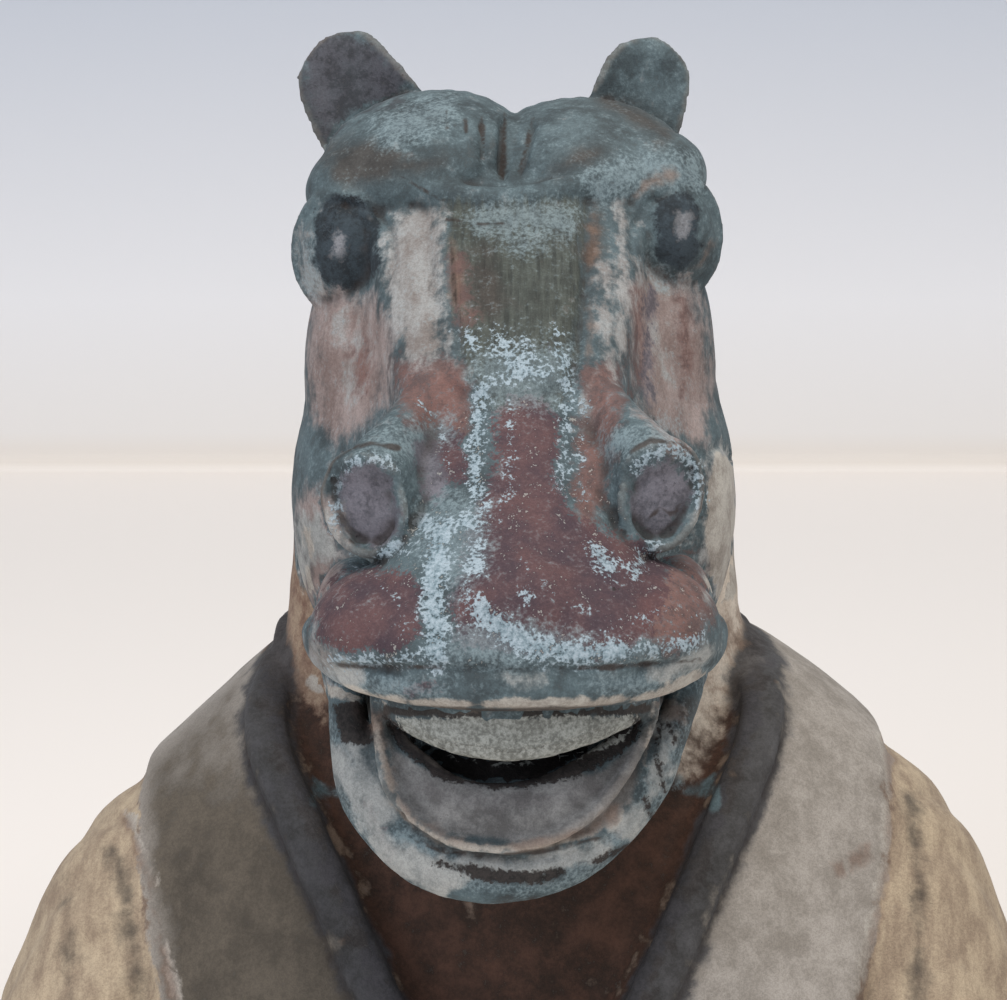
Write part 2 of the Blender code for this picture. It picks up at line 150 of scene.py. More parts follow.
soft_light("overhead", (0.12, -0.25, 0.95), (0, 0.05, 0.1), 0.7, 7.0, "#fff8ee")
soft_light("window", (-0.7, -0.8, 0.55), (0, 0, 0.1), 0.7, 4.0, "#eef3ff")

LOOK_DOWN = math.radians(12)
VIEW_DISTANCE = 0.540  # from the lens to the plane of the eyes
PIXELS_LONG = 3400  # focal length in pixels of the picture, which is 1007 wide
AIM = Vector((-0.00167, 0.013, 0.105))  # what the middle of the picture shows
view_line = Vector((0, math.cos(LOOK_DOWN), -math.sin(LOOK_DOWN)))
view_up = Vector((0, math.sin(LOOK_DOWN), math.cos(LOOK_DOWN)))
lens = bpy.data.cameras.new("camera")
lens.sensor_width = 36
lens.lens = PIXELS_LONG / 1007 * lens.sensor_width
lens.clip_start = 0.05
camera = bpy.data.objects.new("camera", lens)
bpy.context.scene.collection.objects.link(camera)
camera.location = AIM - view_line * VIEW_DISTANCE
camera.rotation_euler = view_line.to_track_quat("-Z", "Y").to_euler()
bpy.context.scene.camera = camera


# ---------------------------------------------------------------- the pressed body
# The skull, jaw, cheeks, neck, chest and robe are pressed clay, one wall with no seam left. Sizes are
# in millimetres from the flat cut, and those of the head from the middle of the eye line.

MM = 0.001
EYE_LINE = 147
SHOULDER_DROP = 6
RIGHT, FORWARD, UP = np.eye(3) * (1, -1, 1)
masses = []  # meshes of clay that wait to be luted together


def unit(vector):
    return vector / np.maximum(np.linalg.norm(vector, axis=-1, keepdims=True), 1e-9)


def between(rows, share):
    """Rows of numbers at shares of the way along, on a smooth curve through all of them."""
    rows = np.asarray(rows, float)
    place = np.clip(share, 0, 1) * (len(rows) - 1)
    i = np.minimum(place.astype(int), len(rows) - 2)
    t = (place - i)[:, None]
    before, start, end, after = (rows[np.clip(i + k, 0, len(rows) - 1)] for k in (-1, 0, 1, 2))
    bend = 2 * before - 5 * start + 4 * end - after
    twist = 3 * start - before - 3 * end + after
    return 0.5 * (2 * start + (end - before) * t + bend * t**2 + twist * t**3)


def smooth_step(value, start, end):
    t = np.clip((value - start) / (end - start), 0, 1)
    return t * t * (3 - 2 * t)


def squared(angle, power):
    """Cosine and sine of a rounded square: power 2 is a circle, and higher is squarer."""
    c, s = np.cos(angle), np.sin(angle)
    return np.sign(c) * abs(c) ** (2 / power), np.sign(s) * abs(s) ** (2 / power)


def closing(share, steepness):
    """1 along the run of a drawn mass, falling round to 0 at both of its ends."""
    return np.sqrt(np.clip(np.minimum(steepness * share, steepness * (1 - share)), 0, 1))


def drawn(place, around=48, along=40):
    """A ball of clay drawn out to place(share along, angle around), which gives points in mm."""
    clay = bmesh.new()
    bmesh.ops.create_uvsphere(clay, u_segments=around, v_segments=along, radius=1)
    mesh = bpy.data.meshes.new("mass")
    clay.to_mesh(mesh)
    clay.free()
    ball_points = np.empty(len(mesh.vertices) * 3)
    mesh.vertices.foreach_get("co", ball_points)
    x, y, z = ball_points.reshape(-1, 3).T
    points = place(np.arccos(np.clip(z, -1, 1)) / np.pi, np.arctan2(y, x))
    mesh.vertices.foreach_set("co", (points * MM).ravel())
    masses.append(mesh)


def head(x, y, z):
    return np.stack(np.broadcast_arrays(x, y, z + EYE_LINE), axis=-1)


def ball(centre, radii, turn=(0, 0, 0)):
    """A ball of clay pressed to three radii in mm and turned by three angles in degrees."""
    clay = bmesh.new()
    turned = Matrix.Identity(4)
    for axis, angle in zip("XYZ", turn):
        turned = Matrix.Rotation(math.radians(angle), 4, axis) @ turned
    shape = Matrix.Translation(Vector(centre) * MM) @ turned @ Matrix.Diagonal((*(Vector(radii) * MM), 1))
    bmesh.ops.create_uvsphere(clay, u_segments=48, v_segments=32, radius=1, matrix=shape)
    mesh = bpy.data.meshes.new("mass")
    clay.to_mesh(mesh)
    clay.free()
    masses.append(mesh)


def rope(rows, across=RIGHT, power=2.0, around=24, along=60):
    """A roll of clay along rows of (x, y, z, half width, half thickness) in mm."""

    def place(share, angle):
        row = between(rows, share)
        course = unit((between(rows, share + 0.01) - between(rows, share - 0.01))[:, :3])
        thin = unit(np.cross(course, across))
        wide = np.cross(thin, course)
        c, s = squared(angle, power)
        size = closing(share, 12)
        return row[:, :3] + wide * (size * c * row[:, 3])[:, None] + thin * (size * s * row[:, 4])[:, None]

    drawn(place, around, along)


def long_mass(rows, around=64, along=72):
    """A mass along the depth: depth, top, underside, half width, squareness, pinch of the top."""

    def place(share, angle):
        depth, top, under, wide, power, pinch = between(rows, share).T
        c, s = squared(angle, power)
        size = closing(share, 14)
        wide = wide * (1 - pinch * np.maximum(0, s)) * size
        return head(c * wide, depth, (top + under) / 2 + s * (top - under) / 2 * size)

    drawn(place, around, along)


def upright_mass(rows, power, warp=None, around=64, along=56):
    """A mass down the figure: height, middle sideways and in depth, half width, reach forward, back."""

    def place(share, angle):
        height, x, y, wide, front, back = between(rows, share).T
        c, s = squared(angle, power)
        size = closing(share, 14)
        x, y = x + c * wide * size, y + s * np.where(s > 0, back, front) * size
        return np.stack(warp(x, y, height, s) if warp else (x, y, height), axis=-1)

    drawn(place, around, along)


def opening_half_width(height):
    return np.interp(height, (4, 18, 30, 42, 54, 66, 77), (0, 8.5, 16, 22.5, 28.5, 34.5, 39))


def panel_half_width(height):
    return np.interp(height, (0, 26, 50, 62), (49, 54, 59.5, 61))


def hang(x, height):
    """How much lower the figure's right side hangs at a point."""
    return SHOULDER_DROP * smooth_step(-x, 26, 58) * smooth_step(height, 5, 45)


long_mass(
    [
        (34, 4, -18, 11.6, 2.2, 0.0),
        (28, 14, -42, 24.4, 2.4, 0.1),
        (14, 17.2, -58, 30.7, 2.7, 0.15),
        (0, 15, -66, 32.0, 2.8, 0.25),
        (-14, 7, -66, 29.0, 2.8, 0.30),
        (-28, -4.5, -58, 23.1, 2.8, 0.32),
        (-42, -15.6, -55, 18.8, 2.8, 0.32),
        (-55, -25.4, -54.5, 19.1, 2.5, 0.30),
        (-66, -33.8, -54, 21.8, 2.3, 0.2),
        (-74, -41, -53, 19.8, 2.2, 0.1),
        (-78.5, -47, -52, 13.2, 2.0, 0.0),
    ]
)
long_mass(
    [
        (16, -30, -64, 27, 2.4, 0),
        (-6, -38, -71, 27.5, 2.5, 0),
        (-24, -46, -77, 25.5, 2.5, 0),
        (-38, -53, -81.5, 23.2, 2.4, 0),
        (-50, -67, -85.5, 19.8, 2.3, 0),
        (-59, -73, -87, 15.2, 2.2, 0),
        (-63.5, -76, -84, 9, 2.0, 0),
    ],
    56,
    48,
)
upright_mass(
    [
        (150, 0, 20, 18, 12, 12),
        (132, 0, 20, 30, 20, 17),
        (112, 0, 19, 35, 22, 22),
        (92, 0, 19, 36.5, 22, 26),
        (76, 0, 17, 38, 24, 30),
        (58, 0, 13, 40, 28, 32),
        (36, 0, 10, 42, 33, 34),
        (10, 0, 8, 44, 36, 36),
        (-16, 0, 8, 44, 36, 36),
    ],
    2.2,
)
ROBE = [
    (83, 0, 20, 28, 16, 25),
    (79.5, 0, 19, 38, 21, 29),
    (74.5, 0, 18, 47, 26, 32),
    (67, 0, 17, 57, 30, 35),
    (60, 0, 15.5, 64, 33, 37),
    (48, 0, 13.5, 70, 37, 39),
    (30, 0, 10, 73, 43, 42),
    (10, 0, 8, 73, 48, 44),
    (-16, 0, 8, 73, 50, 44),
]
ROBE_POWER = 2.35


def panel_warp(x, y, height, s):
    edge = panel_half_width(height)
    x = np.clip(x, -edge, edge)
    inside = smooth_step(opening_half_width(height) - abs(x), -1, 2) * smooth_step(-s, 0, 0.2)
    return x, y + 11 * inside, height - hang(x, height)


upright_mass(ROBE, ROBE_POWER, panel_warp, 140, 96)
for side in (-1, 1):
    ball(head(side * 24.5, 2, -42), (10.8, 25, 24))
    ball(head(side * 23.5, 1, -22), (9.0, 17, 23))
    ball(head(side * 22.5, 2.5, 9), (9.4, 11.5, 7.6), (0, side * 14, 0))
    rope(
        [
            (side * 20, -8, EYE_LINE - 4, 3.4, 3.2),
            (side * 17, -22, EYE_LINE - 11, 3.2, 3.2),
            (side * 14.5, -35, EYE_LINE - 18.5, 3, 3.4),
            (side * 14.5, -46, EYE_LINE - 26, 4, 5),
        ]
    )
    rope(
        [
            (side * 14.5, 4, EYE_LINE + 9, 8.5, 3.2),
            (side * 14, -7, EYE_LINE + 6.2, 8.5, 3.2),
            (side * 13.3, -18.5, EYE_LINE - 1.8, 7.6, 3.2),
            (side * 11.5, -31.5, EYE_LINE - 11.1, 6, 3.2),
            (side * 10.5, -43.5, EYE_LINE - 20.7, 4.8, 3.2),
        ],
        np.array((1, 0, -0.2 * side)),
    )
    ball(head(side * 13, -47, -32), (6.5, 9, 8.5))
    upright_mass(
        [
            (60, side * 55, 14, 7, 11, 12),
            (53.5, side * 58.5, 13.5, 11.5, 17, 18),
            (45, side * 61, 12, 15.5, 22.5, 24),
            (36, side * 63, 10, 17.2, 26, 27),
            (20, side * 65.5, 6, 20, 29, 31),
            (0, side * 67, 2, 21, 31, 35),
            (-24, side * 67, 0, 21, 31, 36),
        ],
        2.2,
        lambda x, y, height, s: (x, y, height - hang(x, height)),
    )


def luted(voxel, rounds):
    """All waiting masses as one skin: voxels of this size in mm, then rounds of smoothing."""
    clay = bmesh.new()
    for mass in masses:
        clay.from_mesh(mass)
        bpy.data.meshes.remove(mass)
    masses.clear()
    mesh = bpy.data.meshes.new("clay")
    clay.to_mesh(mesh)
    clay.free()
    obj = bpy.data.objects.new("clay", mesh)
    bpy.context.scene.collection.objects.link(obj)
    remesh = obj.modifiers.new("remesh", "REMESH")
    remesh.mode, remesh.voxel_size = "VOXEL", voxel * MM
    soften = obj.modifiers.new("smooth", "SMOOTH")
    soften.factor, soften.iterations = 0.5, rounds
    skin = bpy.data.meshes.new_from_object(obj.evaluated_get(bpy.context.evaluated_depsgraph_get()))
    bpy.data.objects.remove(obj)
    return skin


SOFT_VOXEL, SOFT_ROUNDS = 1.6, 8
masses.append(luted(SOFT_VOXEL, SOFT_ROUNDS))


# ---------------------------------------------------------------- the modelled features
# Rolls and pellets of clay luted on by hand: the forelock and mane, the lips and gums, the lids and
# eyeballs, the flared nostrils, the ears, and the border of the robe.


def both_ways(half, spread):
    """Rows for a roll from one side of the head to the other, from those up to the middle."""
    left = [(x * spread, y, EYE_LINE + z, a, b) for x, y, z, a, b in half]
    right = [(-x * spread, y, EYE_LINE + z, a, b) for x, y, z, a, b in half[-2::-1]]
    return left + right


def ring(middle, wide, tall, out, half_width, half_height, roll):
    """A closed roll of clay round an oval: circles stood along it and bridged one to the next."""
    clay = bmesh.new()
    steps, around = 48, 14
    circles = []
    for step in range(steps):
        turn = 2 * math.pi * step / steps
        spoke = wide * math.cos(turn) * half_width + tall * math.sin(turn) * half_height
        made = bmesh.ops.create_circle(clay, cap_ends=False, radius=1, segments=around)["verts"]
        for k, vert in enumerate(made):
            angle = 2 * math.pi * k / around
            vert.co = (middle + spoke + (unit(spoke) * math.cos(angle) + out * math.sin(angle)) * roll) * MM
        circles += sorted({e for v in made for e in v.link_edges}, key=lambda e: e.index)
    bmesh.ops.bridge_loops(clay, edges=circles, use_cyclic=True)
    bmesh.ops.recalc_face_normals(clay, faces=clay.faces[:])
    mesh = bpy.data.meshes.new("mass")
    clay.to_mesh(mesh)
    clay.free()
    masses.append(mesh)


# Forelock in two lobes with a rolled front edge, and the flat lock down the nose.
for side in (-1, 1):
    ball(head(side * 13, 5, 12.3 - side * 1.1), (16, 18, 8.3), (14, side * 7, 0))
rope(
    [
        (-25, 3, EYE_LINE + 12.4, 2.2, 2.0),
        (-15, -9.3, EYE_LINE + 9.8, 2.4, 2.2),
        (0, -13.8, EYE_LINE + 7.4, 2.4, 2.2),
        (15, -9.3, EYE_LINE + 9.8, 2.4, 2.2),
        (25, 3, EYE_LINE + 12.4, 2.2, 2.0),
    ],
    UP,
)
rope(
    [
        (0, -6, EYE_LINE + 11.0, 12.5, 2.0),
        (0, -18, EYE_LINE + 2.8, 11.2, 1.9),
        (0, -31, EYE_LINE - 7.0, 10, 1.7),
        (0, -44, EYE_LINE - 17.4, 8.2, 1.4),
    ],
    RIGHT,
    3.0,
    36,
)
# The cropped mane down the back of the neck.
rope(
    [
        (0, 22, EYE_LINE + 12, 5, 5),
        (0, 33, EYE_LINE + 4, 5, 6),
        (0, 40.5, EYE_LINE - 20, 4.6, 6),
        (0, 44, EYE_LINE - 42, 4.4, 5),
        (0, 47, EYE_LINE - 64, 4.2, 4),
    ],
    RIGHT,
)
# The upper lip, and the gum under it.
LIP_HALF_WIDTH, MOUTH_HALF_WIDTH = 28, 19
ball(head(0, -61, -45), (17, 15.5, 11.4))
for side in (-1, 1):
    ball(head(side * 17, -59, -47), (12.5, 14.5, 8.6), (0, side * 9, 0))
    ball(head(side * 23.5, -47, -48), (5.5, 12, 7.5))
    ball(head(side * 24.5, -39, -57), (4.5, 9, 8))
lip = [
    (-1, -47, -49.5, 3, 3),
    (-0.94, -58, -51.2, 3.6, 3.2),
    (-0.62, -70, -52, 3.6, 3.2),
    (0, -75.5, -52, 3.6, 3.2),
]
rope(both_ways(lip, LIP_HALF_WIDTH), UP, 2.0, 28, 80)
gum = [
    (-1, -53, -55.8, 2.5, 4.3),
    (-0.8, -62.5, -56.4, 2.5, 5.2),
    (-0.4, -67.8, -57.8, 2.5, 5.8),
    (0, -69.3, -58.4, 2.5, 6.2),
]
rope(both_ways(gum, MOUTH_HALF_WIDTH), FORWARD, 2.6, 28, 80)
# The lower lip: the raised inner edge, the sloping plate of the gum inside it, and the outer band.
edge = [
    (-1.06, -55.5, -53, 1.0, 1.3),
    (-1.01, -59.5, -62, 1.0, 1.3),
    (-0.85, -63.2, -70, 1.0, 1.3),
    (-0.5, -66.8, -75.6, 1.0, 1.3),
    (0, -68.3, -77.8, 1.0, 1.3),
]
rope(both_ways(edge, MOUTH_HALF_WIDTH), UP, 2.0, 20, 100)
plate = [
    (-1.0, -54.5, -61, 2.6, 1.8),
    (-0.95, -57, -64.5, 3.2, 1.8),
    (-0.8, -60.5, -68.5, 4.4, 1.8),
    (-0.45, -64, -72.6, 4.9, 1.8),
    (0, -65, -74.2, 5.0, 1.8),
]
rope(both_ways(plate, MOUTH_HALF_WIDTH), unit(np.array((0, 0.35, 1))), 2.0, 24, 90)
band = [
    (-1.38, -42, -52, 2.6, 2.4),
    (-1.30, -49, -60, 3.4, 2.6),
    (-1.10, -56.5, -71, 4.4, 3.0),
    (-0.60, -62, -79.6, 5.0, 3.4),
    (0, -64, -82, 5.2, 3.6),
]
rope(both_ways(band, MOUTH_HALF_WIDTH), UP, 2.0, 28, 90)
# Eyes and nostrils.
EYE_SPREAD, EYE_RADIUS, NOSTRIL_SPREAD = 24.2, 8.6, 21
for side in (-1, 1):
    out = unit(np.array((side * 0.52, -0.85, 0.05)))
    wide = unit(np.cross(UP, out))
    tall = np.cross(out, wide)
    middle = np.array((side * EYE_SPREAD, -4.8, EYE_LINE))
    ball(middle - out * 0.8, (EYE_RADIUS, EYE_RADIUS, 9.63))
    ring(middle + out * 3.3, wide, tall, out, 7.4, 8.77, 1.4)
    rope(
        [
            (side * 12.5, -35, EYE_LINE - 16.5, 2.2, 2.6),
            (side * 15, -43, EYE_LINE - 21.5, 3.6, 4.4),
            (side * 18.2, -50.5, EYE_LINE - 26, 5.2, 6.6),
            (side * 20.6, -56.5, EYE_LINE - 29.2, 6.2, 7.9),
        ],
        RIGHT,
        2.1,
        32,
    )
    out = unit(np.array((side * 0.36, -0.9, 0.16)))
    lean = math.radians(20 * side)
    tall = UP * math.cos(lean) + RIGHT * math.sin(lean)
    tall = unit(tall - out * tall.dot(out))
    wide = np.cross(tall, out)
    middle = np.array((side * NOSTRIL_SPREAD, -57, EYE_LINE - 29.5))
    ball(middle - out * 4.0, (7.0, 4.7, 8.7), (0, side * 20, side * 22))
    ring(middle, wide, tall, out, 5.8, 7.5, 0.9)


def ear(root, lean, length, widths):
    """A leaf of clay for an ear, hollowed in front. widths are shares of its half width, upward."""
    outward = math.copysign(1, root[0])
    tilt = math.radians(lean)
    along = np.array((outward * math.sin(tilt), 0.04, math.cos(tilt)))
    wide = unit(np.array((along[2], 0.12 * outward, -along[0])))
    front = unit(np.cross(wide, along))
    front = front if front.dot(FORWARD) > 0 else -front
    rows = [(half, 3.3 - 0.35 * k) for k, half in enumerate(widths)]

    def place(share, angle):
        half, thick = between(rows, share).T
        c, s = np.cos(angle), np.sin(angle)
        curl = 3.4 * c * c * np.sin(np.pi * np.minimum(1, share * 1.05))
        flat = (c * EAR_HALF_WIDTH * half * closing(share, 10))[:, None] * wide
        rise = (length * (share - 0.12))[:, None] * along
        swell = (s * thick * closing(share, 10) * 0.9 + curl)[:, None] * front
        return head(*(np.array(root) + rise + flat + swell).T)

    drawn(place, 48, 40)


EAR_LENGTH, EAR_HALF_WIDTH = 29.6, 9.3  # its right ear; the left one is shorter
ear((-15.5, 22, 8.8), 32, EAR_LENGTH, (0.85, 0.98, 1.02, 0.98, 0.86, 0.62))
ear((17.4, 22, 8.7), 21, 0.82 * EAR_LENGTH, (0.7, 0.85, 0.88, 0.86, 0.76, 0.45))


def robe_front(x, height):
    """Depth of the robe's front at a point."""
    heights = [row[0] for row in ROBE[::-1]]
    middle, wide, front = (np.interp(height, heights, [row[k] for row in ROBE[::-1]]) for k in (2, 3, 4))
    return middle - front * max(0, 1 - (abs(x) / wide) ** ROBE_POWER) ** (1 / ROBE_POWER)


# The border of the robe, flat on the chest and standing round the nape.
BORDER_WIDTH, BORDER_RISE = 7, 2.4
COLLAR_HALF_WIDTH, COLLAR_MIDDLE, COLLAR_REACH = 38.8, 17, 31.5  # the collar seen from above
border_lines = []
for side in (-1, 1):
    rows = [(side * COLLAR_HALF_WIDTH, COLLAR_MIDDLE, 76.5, BORDER_WIDTH / 2, BORDER_RISE)]
    for height in (70, 58, 46, 34, 22, 10, -2, -14):
        x = side * (opening_half_width(height) + BORDER_WIDTH / 2) - side * 0.55 * max(0, 4 - height)
        drop = hang(np.array(x), np.array(height))
        rows.append((x, robe_front(x, height), height - drop, BORDER_WIDTH / 2, BORDER_RISE))
    rope(rows, RIGHT, 3.2, 28, 110)
    border_lines.append(rows)
nape = []
for step in range(9):
    turn = math.pi * step / 8
    x, y = COLLAR_HALF_WIDTH * math.cos(turn), COLLAR_MIDDLE + COLLAR_REACH * math.sin(turn)
    nape.append((x, y, 76 + 3 * math.sin(turn), BORDER_WIDTH / 2, BORDER_RISE))
rope(nape, UP, 3.2, 28, 110)
border_lines.append(nape)

FINE = 0.62  # voxel in mm
skin = luted(FINE, 3)


# ---------------------------------------------------------------- one skin
# The luted clay loses its closed pockets, leans its head, and is cut flat. Then the maker's tool goes
# over it: incised hair lines, creases, cracks, folds. Places on the front are given as they are seen
# from the camera, in pixels of a picture 1007 wide.


def read(collection, name, width, kind=np.float32):
    """One property of all the elements of a mesh, as rows of this width."""
    values = np.empty(len(collection) * width, kind)
    collection.foreach_get(name, values)
    return values.reshape(-1, width)


def without_pockets(mesh):
    """The mesh as a bmesh, with its largest shell only."""
    ends = read(mesh.edges, "vertices", 2, np.int32)
    label = np.arange(len(mesh.vertices))
    while (label[ends[:, 0]] != label[ends[:, 1]]).any():
        pair = np.sort(label[ends], axis=1)
        np.minimum.at(label, pair[:, 1], pair[:, 0])
        for _ in range(4):
            label = label[label]
    clay = bmesh.new()
    clay.from_mesh(mesh)
    clay.verts.ensure_lookup_table()
    spare = np.flatnonzero(label != np.bincount(label).argmax())
    bmesh.ops.delete(clay, geom=[clay.verts[i] for i in spare], context="VERTS")
    return clay


clay = without_pockets(skin)
clay.to_mesh(skin)
clay.free()
points = read(skin.vertices, "co", 3) / MM
HEAD_LEAN, HEAD_SHIFT = 0.045, 0.02  # rise for each mm sideways, and shift for each mm of height
JAW_LEAN, JAW_SHIFT = 0.09, 1.0  # the lower lip rises to its left, and hangs this far to its right
over_mouth = points[:, 2] - (EYE_LINE - 55)
leaning = smooth_step(over_mouth, 0, 40)
points[:, 2] += points[:, 0] * HEAD_LEAN * leaning
points[:, 0] -= over_mouth * HEAD_SHIFT * leaning
in_jaw = smooth_step(-over_mouth, 4, 16) * smooth_step(points[:, 2], 52, 58)
in_jaw *= smooth_step(-points[:, 1], 18, 36)
points[:, 2] += points[:, 0] * JAW_LEAN * in_jaw
points[:, 0] -= JAW_SHIFT * in_jaw
above = points[points[:, 2] > 0]
STAND_BACK = -(above[:, 1].min() + above[:, 1].max()) / 2
points[:, 1] += STAND_BACK


def in_picture(points):
    """Where points in mm are seen: across and down in pixels, and depth in mm."""
    reach = points - np.array(camera.location) / MM
    depth = reach @ np.array(view_line)
    return np.stack(
        (
            503.5 + PIXELS_LONG * reach[:, 0] / depth,
            500 - PIXELS_LONG * (reach @ np.array(view_up)) / depth,
            depth,
        ),
        axis=1,
    )


def to_line(seen, line, closed=False):
    """How far each seen place is from a line through pixel places, and how far along the nearest is."""
    line = np.asarray(line, float)
    ends = np.roll(line, -1, axis=0) if closed else line[1:]
    far, along = np.full(len(seen), 1e9), np.zeros(len(seen))
    for k, (a, b) in enumerate(zip(line, ends)):
        t = np.clip((seen[:, :2] - a) @ (b - a) / max((b - a) @ (b - a), 1e-9), 0, 1)
        gap = np.hypot(*(seen[:, :2] - a - t[:, None] * (b - a)).T)
        nearer = gap < far
        far[nearer], along[nearer] = gap[nearer], (k + t[nearer]) / len(ends)
    return far, along


def in_outline(seen, outline):
    """Whether each seen place lies inside an outline of pixel places."""
    x, y = seen[:, 0], seen[:, 1]
    inside = np.zeros(len(seen), bool)
    for (ax, ay), (bx, by) in zip(outline, outline[1:] + outline[:1]):
        crosses = (ay > y) != (by > y)
        inside ^= crosses & (x < (bx - ax) * (y - ay) / (by - ay + 1e-9) + ax)
    return inside


def seen_first(seen, normals):
    """Which points face the camera and are not behind others, from 1 to 0."""
    cell, cells, slack = 3, 400, 4.5  # pixels, how many a row holds, and mm of depth
    across, down = np.clip(seen[:, :2] // cell, 0, cells - 1).astype(int).T
    place = across * cells + down
    nearest = np.full(cells * cells, 1e9)
    np.minimum.at(nearest, place, seen[:, 2])
    facing = -normals @ np.array(view_line)
    return smooth_step(facing, -0.03, 0.06) * (seen[:, 2] < nearest[place] + slack)


seen = in_picture(points)
normals = read(skin.vertices, "normal", 3)
in_front = seen_first(seen, normals)

# Hair lines and creases: pixel line, half width in pixels, depth in mm. They taper at both ends.
CUTS = [
    ([(481, 116), (483, 138), (484, 160)], 3.2, 0.8),
    ([(505, 115), (504, 145), (502, 180)], 4.2, 1.1),
    ([(533, 118), (527, 145), (517, 177)], 3.6, 0.9),
    ([(465, 119), (466, 132)], 3.0, 0.4),
    ([(446, 112), (448, 128)], 3.0, 0.3),
    ([(386, 772), (404, 822), (448, 851), (520, 861), (592, 851), (640, 814)], 3.0, 0.5),
    ([(446, 221), (480, 224), (517, 221)], 3.5, 0.5),
    ([(330, 664), (380, 668), (430, 667), (520, 669), (610, 667), (700, 660)], 4.0, 0.6),
    ([(708, 452), (722, 441), (742, 470)], 4.0, 0.6),
    ([(330, 200), (372, 206), (392, 228), (394, 262), (380, 292)], 4.0, 0.5),
    ([(634, 262), (632, 228), (648, 200), (676, 190)], 4.0, 0.5),
    ([(449, 240), (452, 300), (462, 352), (470, 392)], 4.0, 0.5),
    ([(592, 232), (584, 300), (577, 352), (573, 392)], 4.0, 0.5),
]
cut = np.zeros(len(points))
for line, half_width, depth in CUTS:
    far, along = to_line(seen, line)
    taper = smooth_step(along, -0.02, 0.12) * smooth_step(1 - along, -0.02, 0.12)
    cut = np.maximum(cut, depth * taper * np.exp(-((far / half_width) ** 2)))
for side, (x, y) in ((-1, (371, 502)), (1, (661, 496))):
    turn = np.arctan2(seen[:, 1] - y, seen[:, 0] - x)
    reach = np.hypot((seen[:, 0] - x) / 40, (seen[:, 1] - y) / 50)
    ribs = 0.5 + 0.5 * np.cos(34 * turn)
    cut += 0.35 * ribs * np.exp(-(((reach - 1.02) / 0.16) ** 2)) * smooth_step(-np.sin(turn), -0.3, 0.3)
cut *= in_front

# Folds of the sleeves, hair of the mane, and the hem of the shoulder panel, on the whole figure.
x, y, z = points.T
sleeve_share = smooth_step(abs(x) - panel_half_width(z), 1, 7) * smooth_step(60 - z, 0, 8)
around = np.arctan2(y - 2, abs(x) - 50)
fold = 0.5 + 0.5 * np.cos(13 * around + 0.05 * z + 1.2 * np.sin(0.11 * z))
cut += 0.9 * sleeve_share * fold**2
strand = np.sin((abs(x) * 1.3 + (z - EYE_LINE) * 0.9) * 1.25)
mane_share = smooth_step(5.5 - abs(x), 0, 2) * smooth_step(y - STAND_BACK - 24, 0, 6)
mane_share *= smooth_step(z, 82, 90)
cut += 0.35 * mane_share * (0.5 + 0.5 * strand)
cap_share = smooth_step(z - EYE_LINE, 8, 15) * smooth_step(30 - abs(x), 0, 6)
comb = np.sin(x * 2.1 + 1.5 * np.sin(0.3 * (y + z)))
cut += 0.12 * cap_share * (0.5 + 0.5 * comb)
points -= normals * cut[:, None]


def write(mesh, points):
    mesh.vertices.foreach_set("co", (points * MM).astype(np.float32).ravel())
    mesh.update()


write(skin, points)
clay = bmesh.new()
clay.from_mesh(skin)
geometry = clay.verts[:] + clay.edges[:] + clay.faces[:]
bmesh.ops.bisect_plane(clay, geom=geometry, plane_co=(0, 0, 0), plane_no=(0, 0, -1), clear_outer=True)
bmesh.ops.edgeloop_fill(clay, edges=[edge for edge in clay.edges if edge.is_boundary])
clay.to_mesh(skin)
clay.free()


def thinned(mesh, spare, most):
    """The mesh in at most this many triangles, thinned out where spare is 1 and kept where it is 0."""
    obj = bpy.data.objects.new("clay", mesh)
    bpy.context.scene.collection.objects.link(obj)
    group = obj.vertex_groups.new(name="spare")
    for level in (0.25, 0.5, 0.75, 1.0):
        group.add(np.flatnonzero(np.ceil(spare * 4) / 4 == level).tolist(), level, "REPLACE")
    obj.modifiers.new("triangles", "TRIANGULATE")
    fewer = obj.modifiers.new("fewer", "DECIMATE")
    fewer.vertex_group = "spare"
    fewer.ratio = min(1, most / (len(mesh.loops) - 2 * len(mesh.polygons)))
    made = bpy.data.meshes.new_from_object(obj.evaluated_get(bpy.context.evaluated_depsgraph_get()))
    bpy.data.objects.remove(obj)
    return made


TRIANGLES = 192000
EVENLY = 330000  # thinned to this all over first, and then only away from the face
skin = thinned(skin, np.ones(len(skin.vertices)), EVENLY)
x, y, z = (read(skin.vertices, "co", 3) / MM).T
face = (y < 8) & (z > 62) | (y < 30) & (z > 130) | (z > 148)
bust_mesh = thinned(skin, 1.0 - face, TRIANGLES)

# The hand leaves the clay slightly uneven. Last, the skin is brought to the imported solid's own box.
points = read(bust_mesh.vertices, "co", 3) / MM
normals = read(bust_mesh.vertices, "normal", 3)
uneven = np.array([noise.noise(Vector(p) / 5) * 0.16 + noise.noise(Vector(p) / 1.9) * 0.07 for p in points])
points += normals * (uneven * smooth_step(points[:, 2], 0.5, 3))[:, None]
low, high = points.min(axis=0), points.max(axis=0)
goal_low, goal_high = (np.array(corner) / MM for corner in cad_box)
points = goal_low + 0.01 + (points - low) * (goal_high - goal_low - 0.02) / (high - low)
write(bust_mesh, points)
bust = bpy.data.objects.new("painted_bust", bust_mesh)
bpy.context.scene.collection.objects.link(bust)
bust_mesh.shade_smooth()
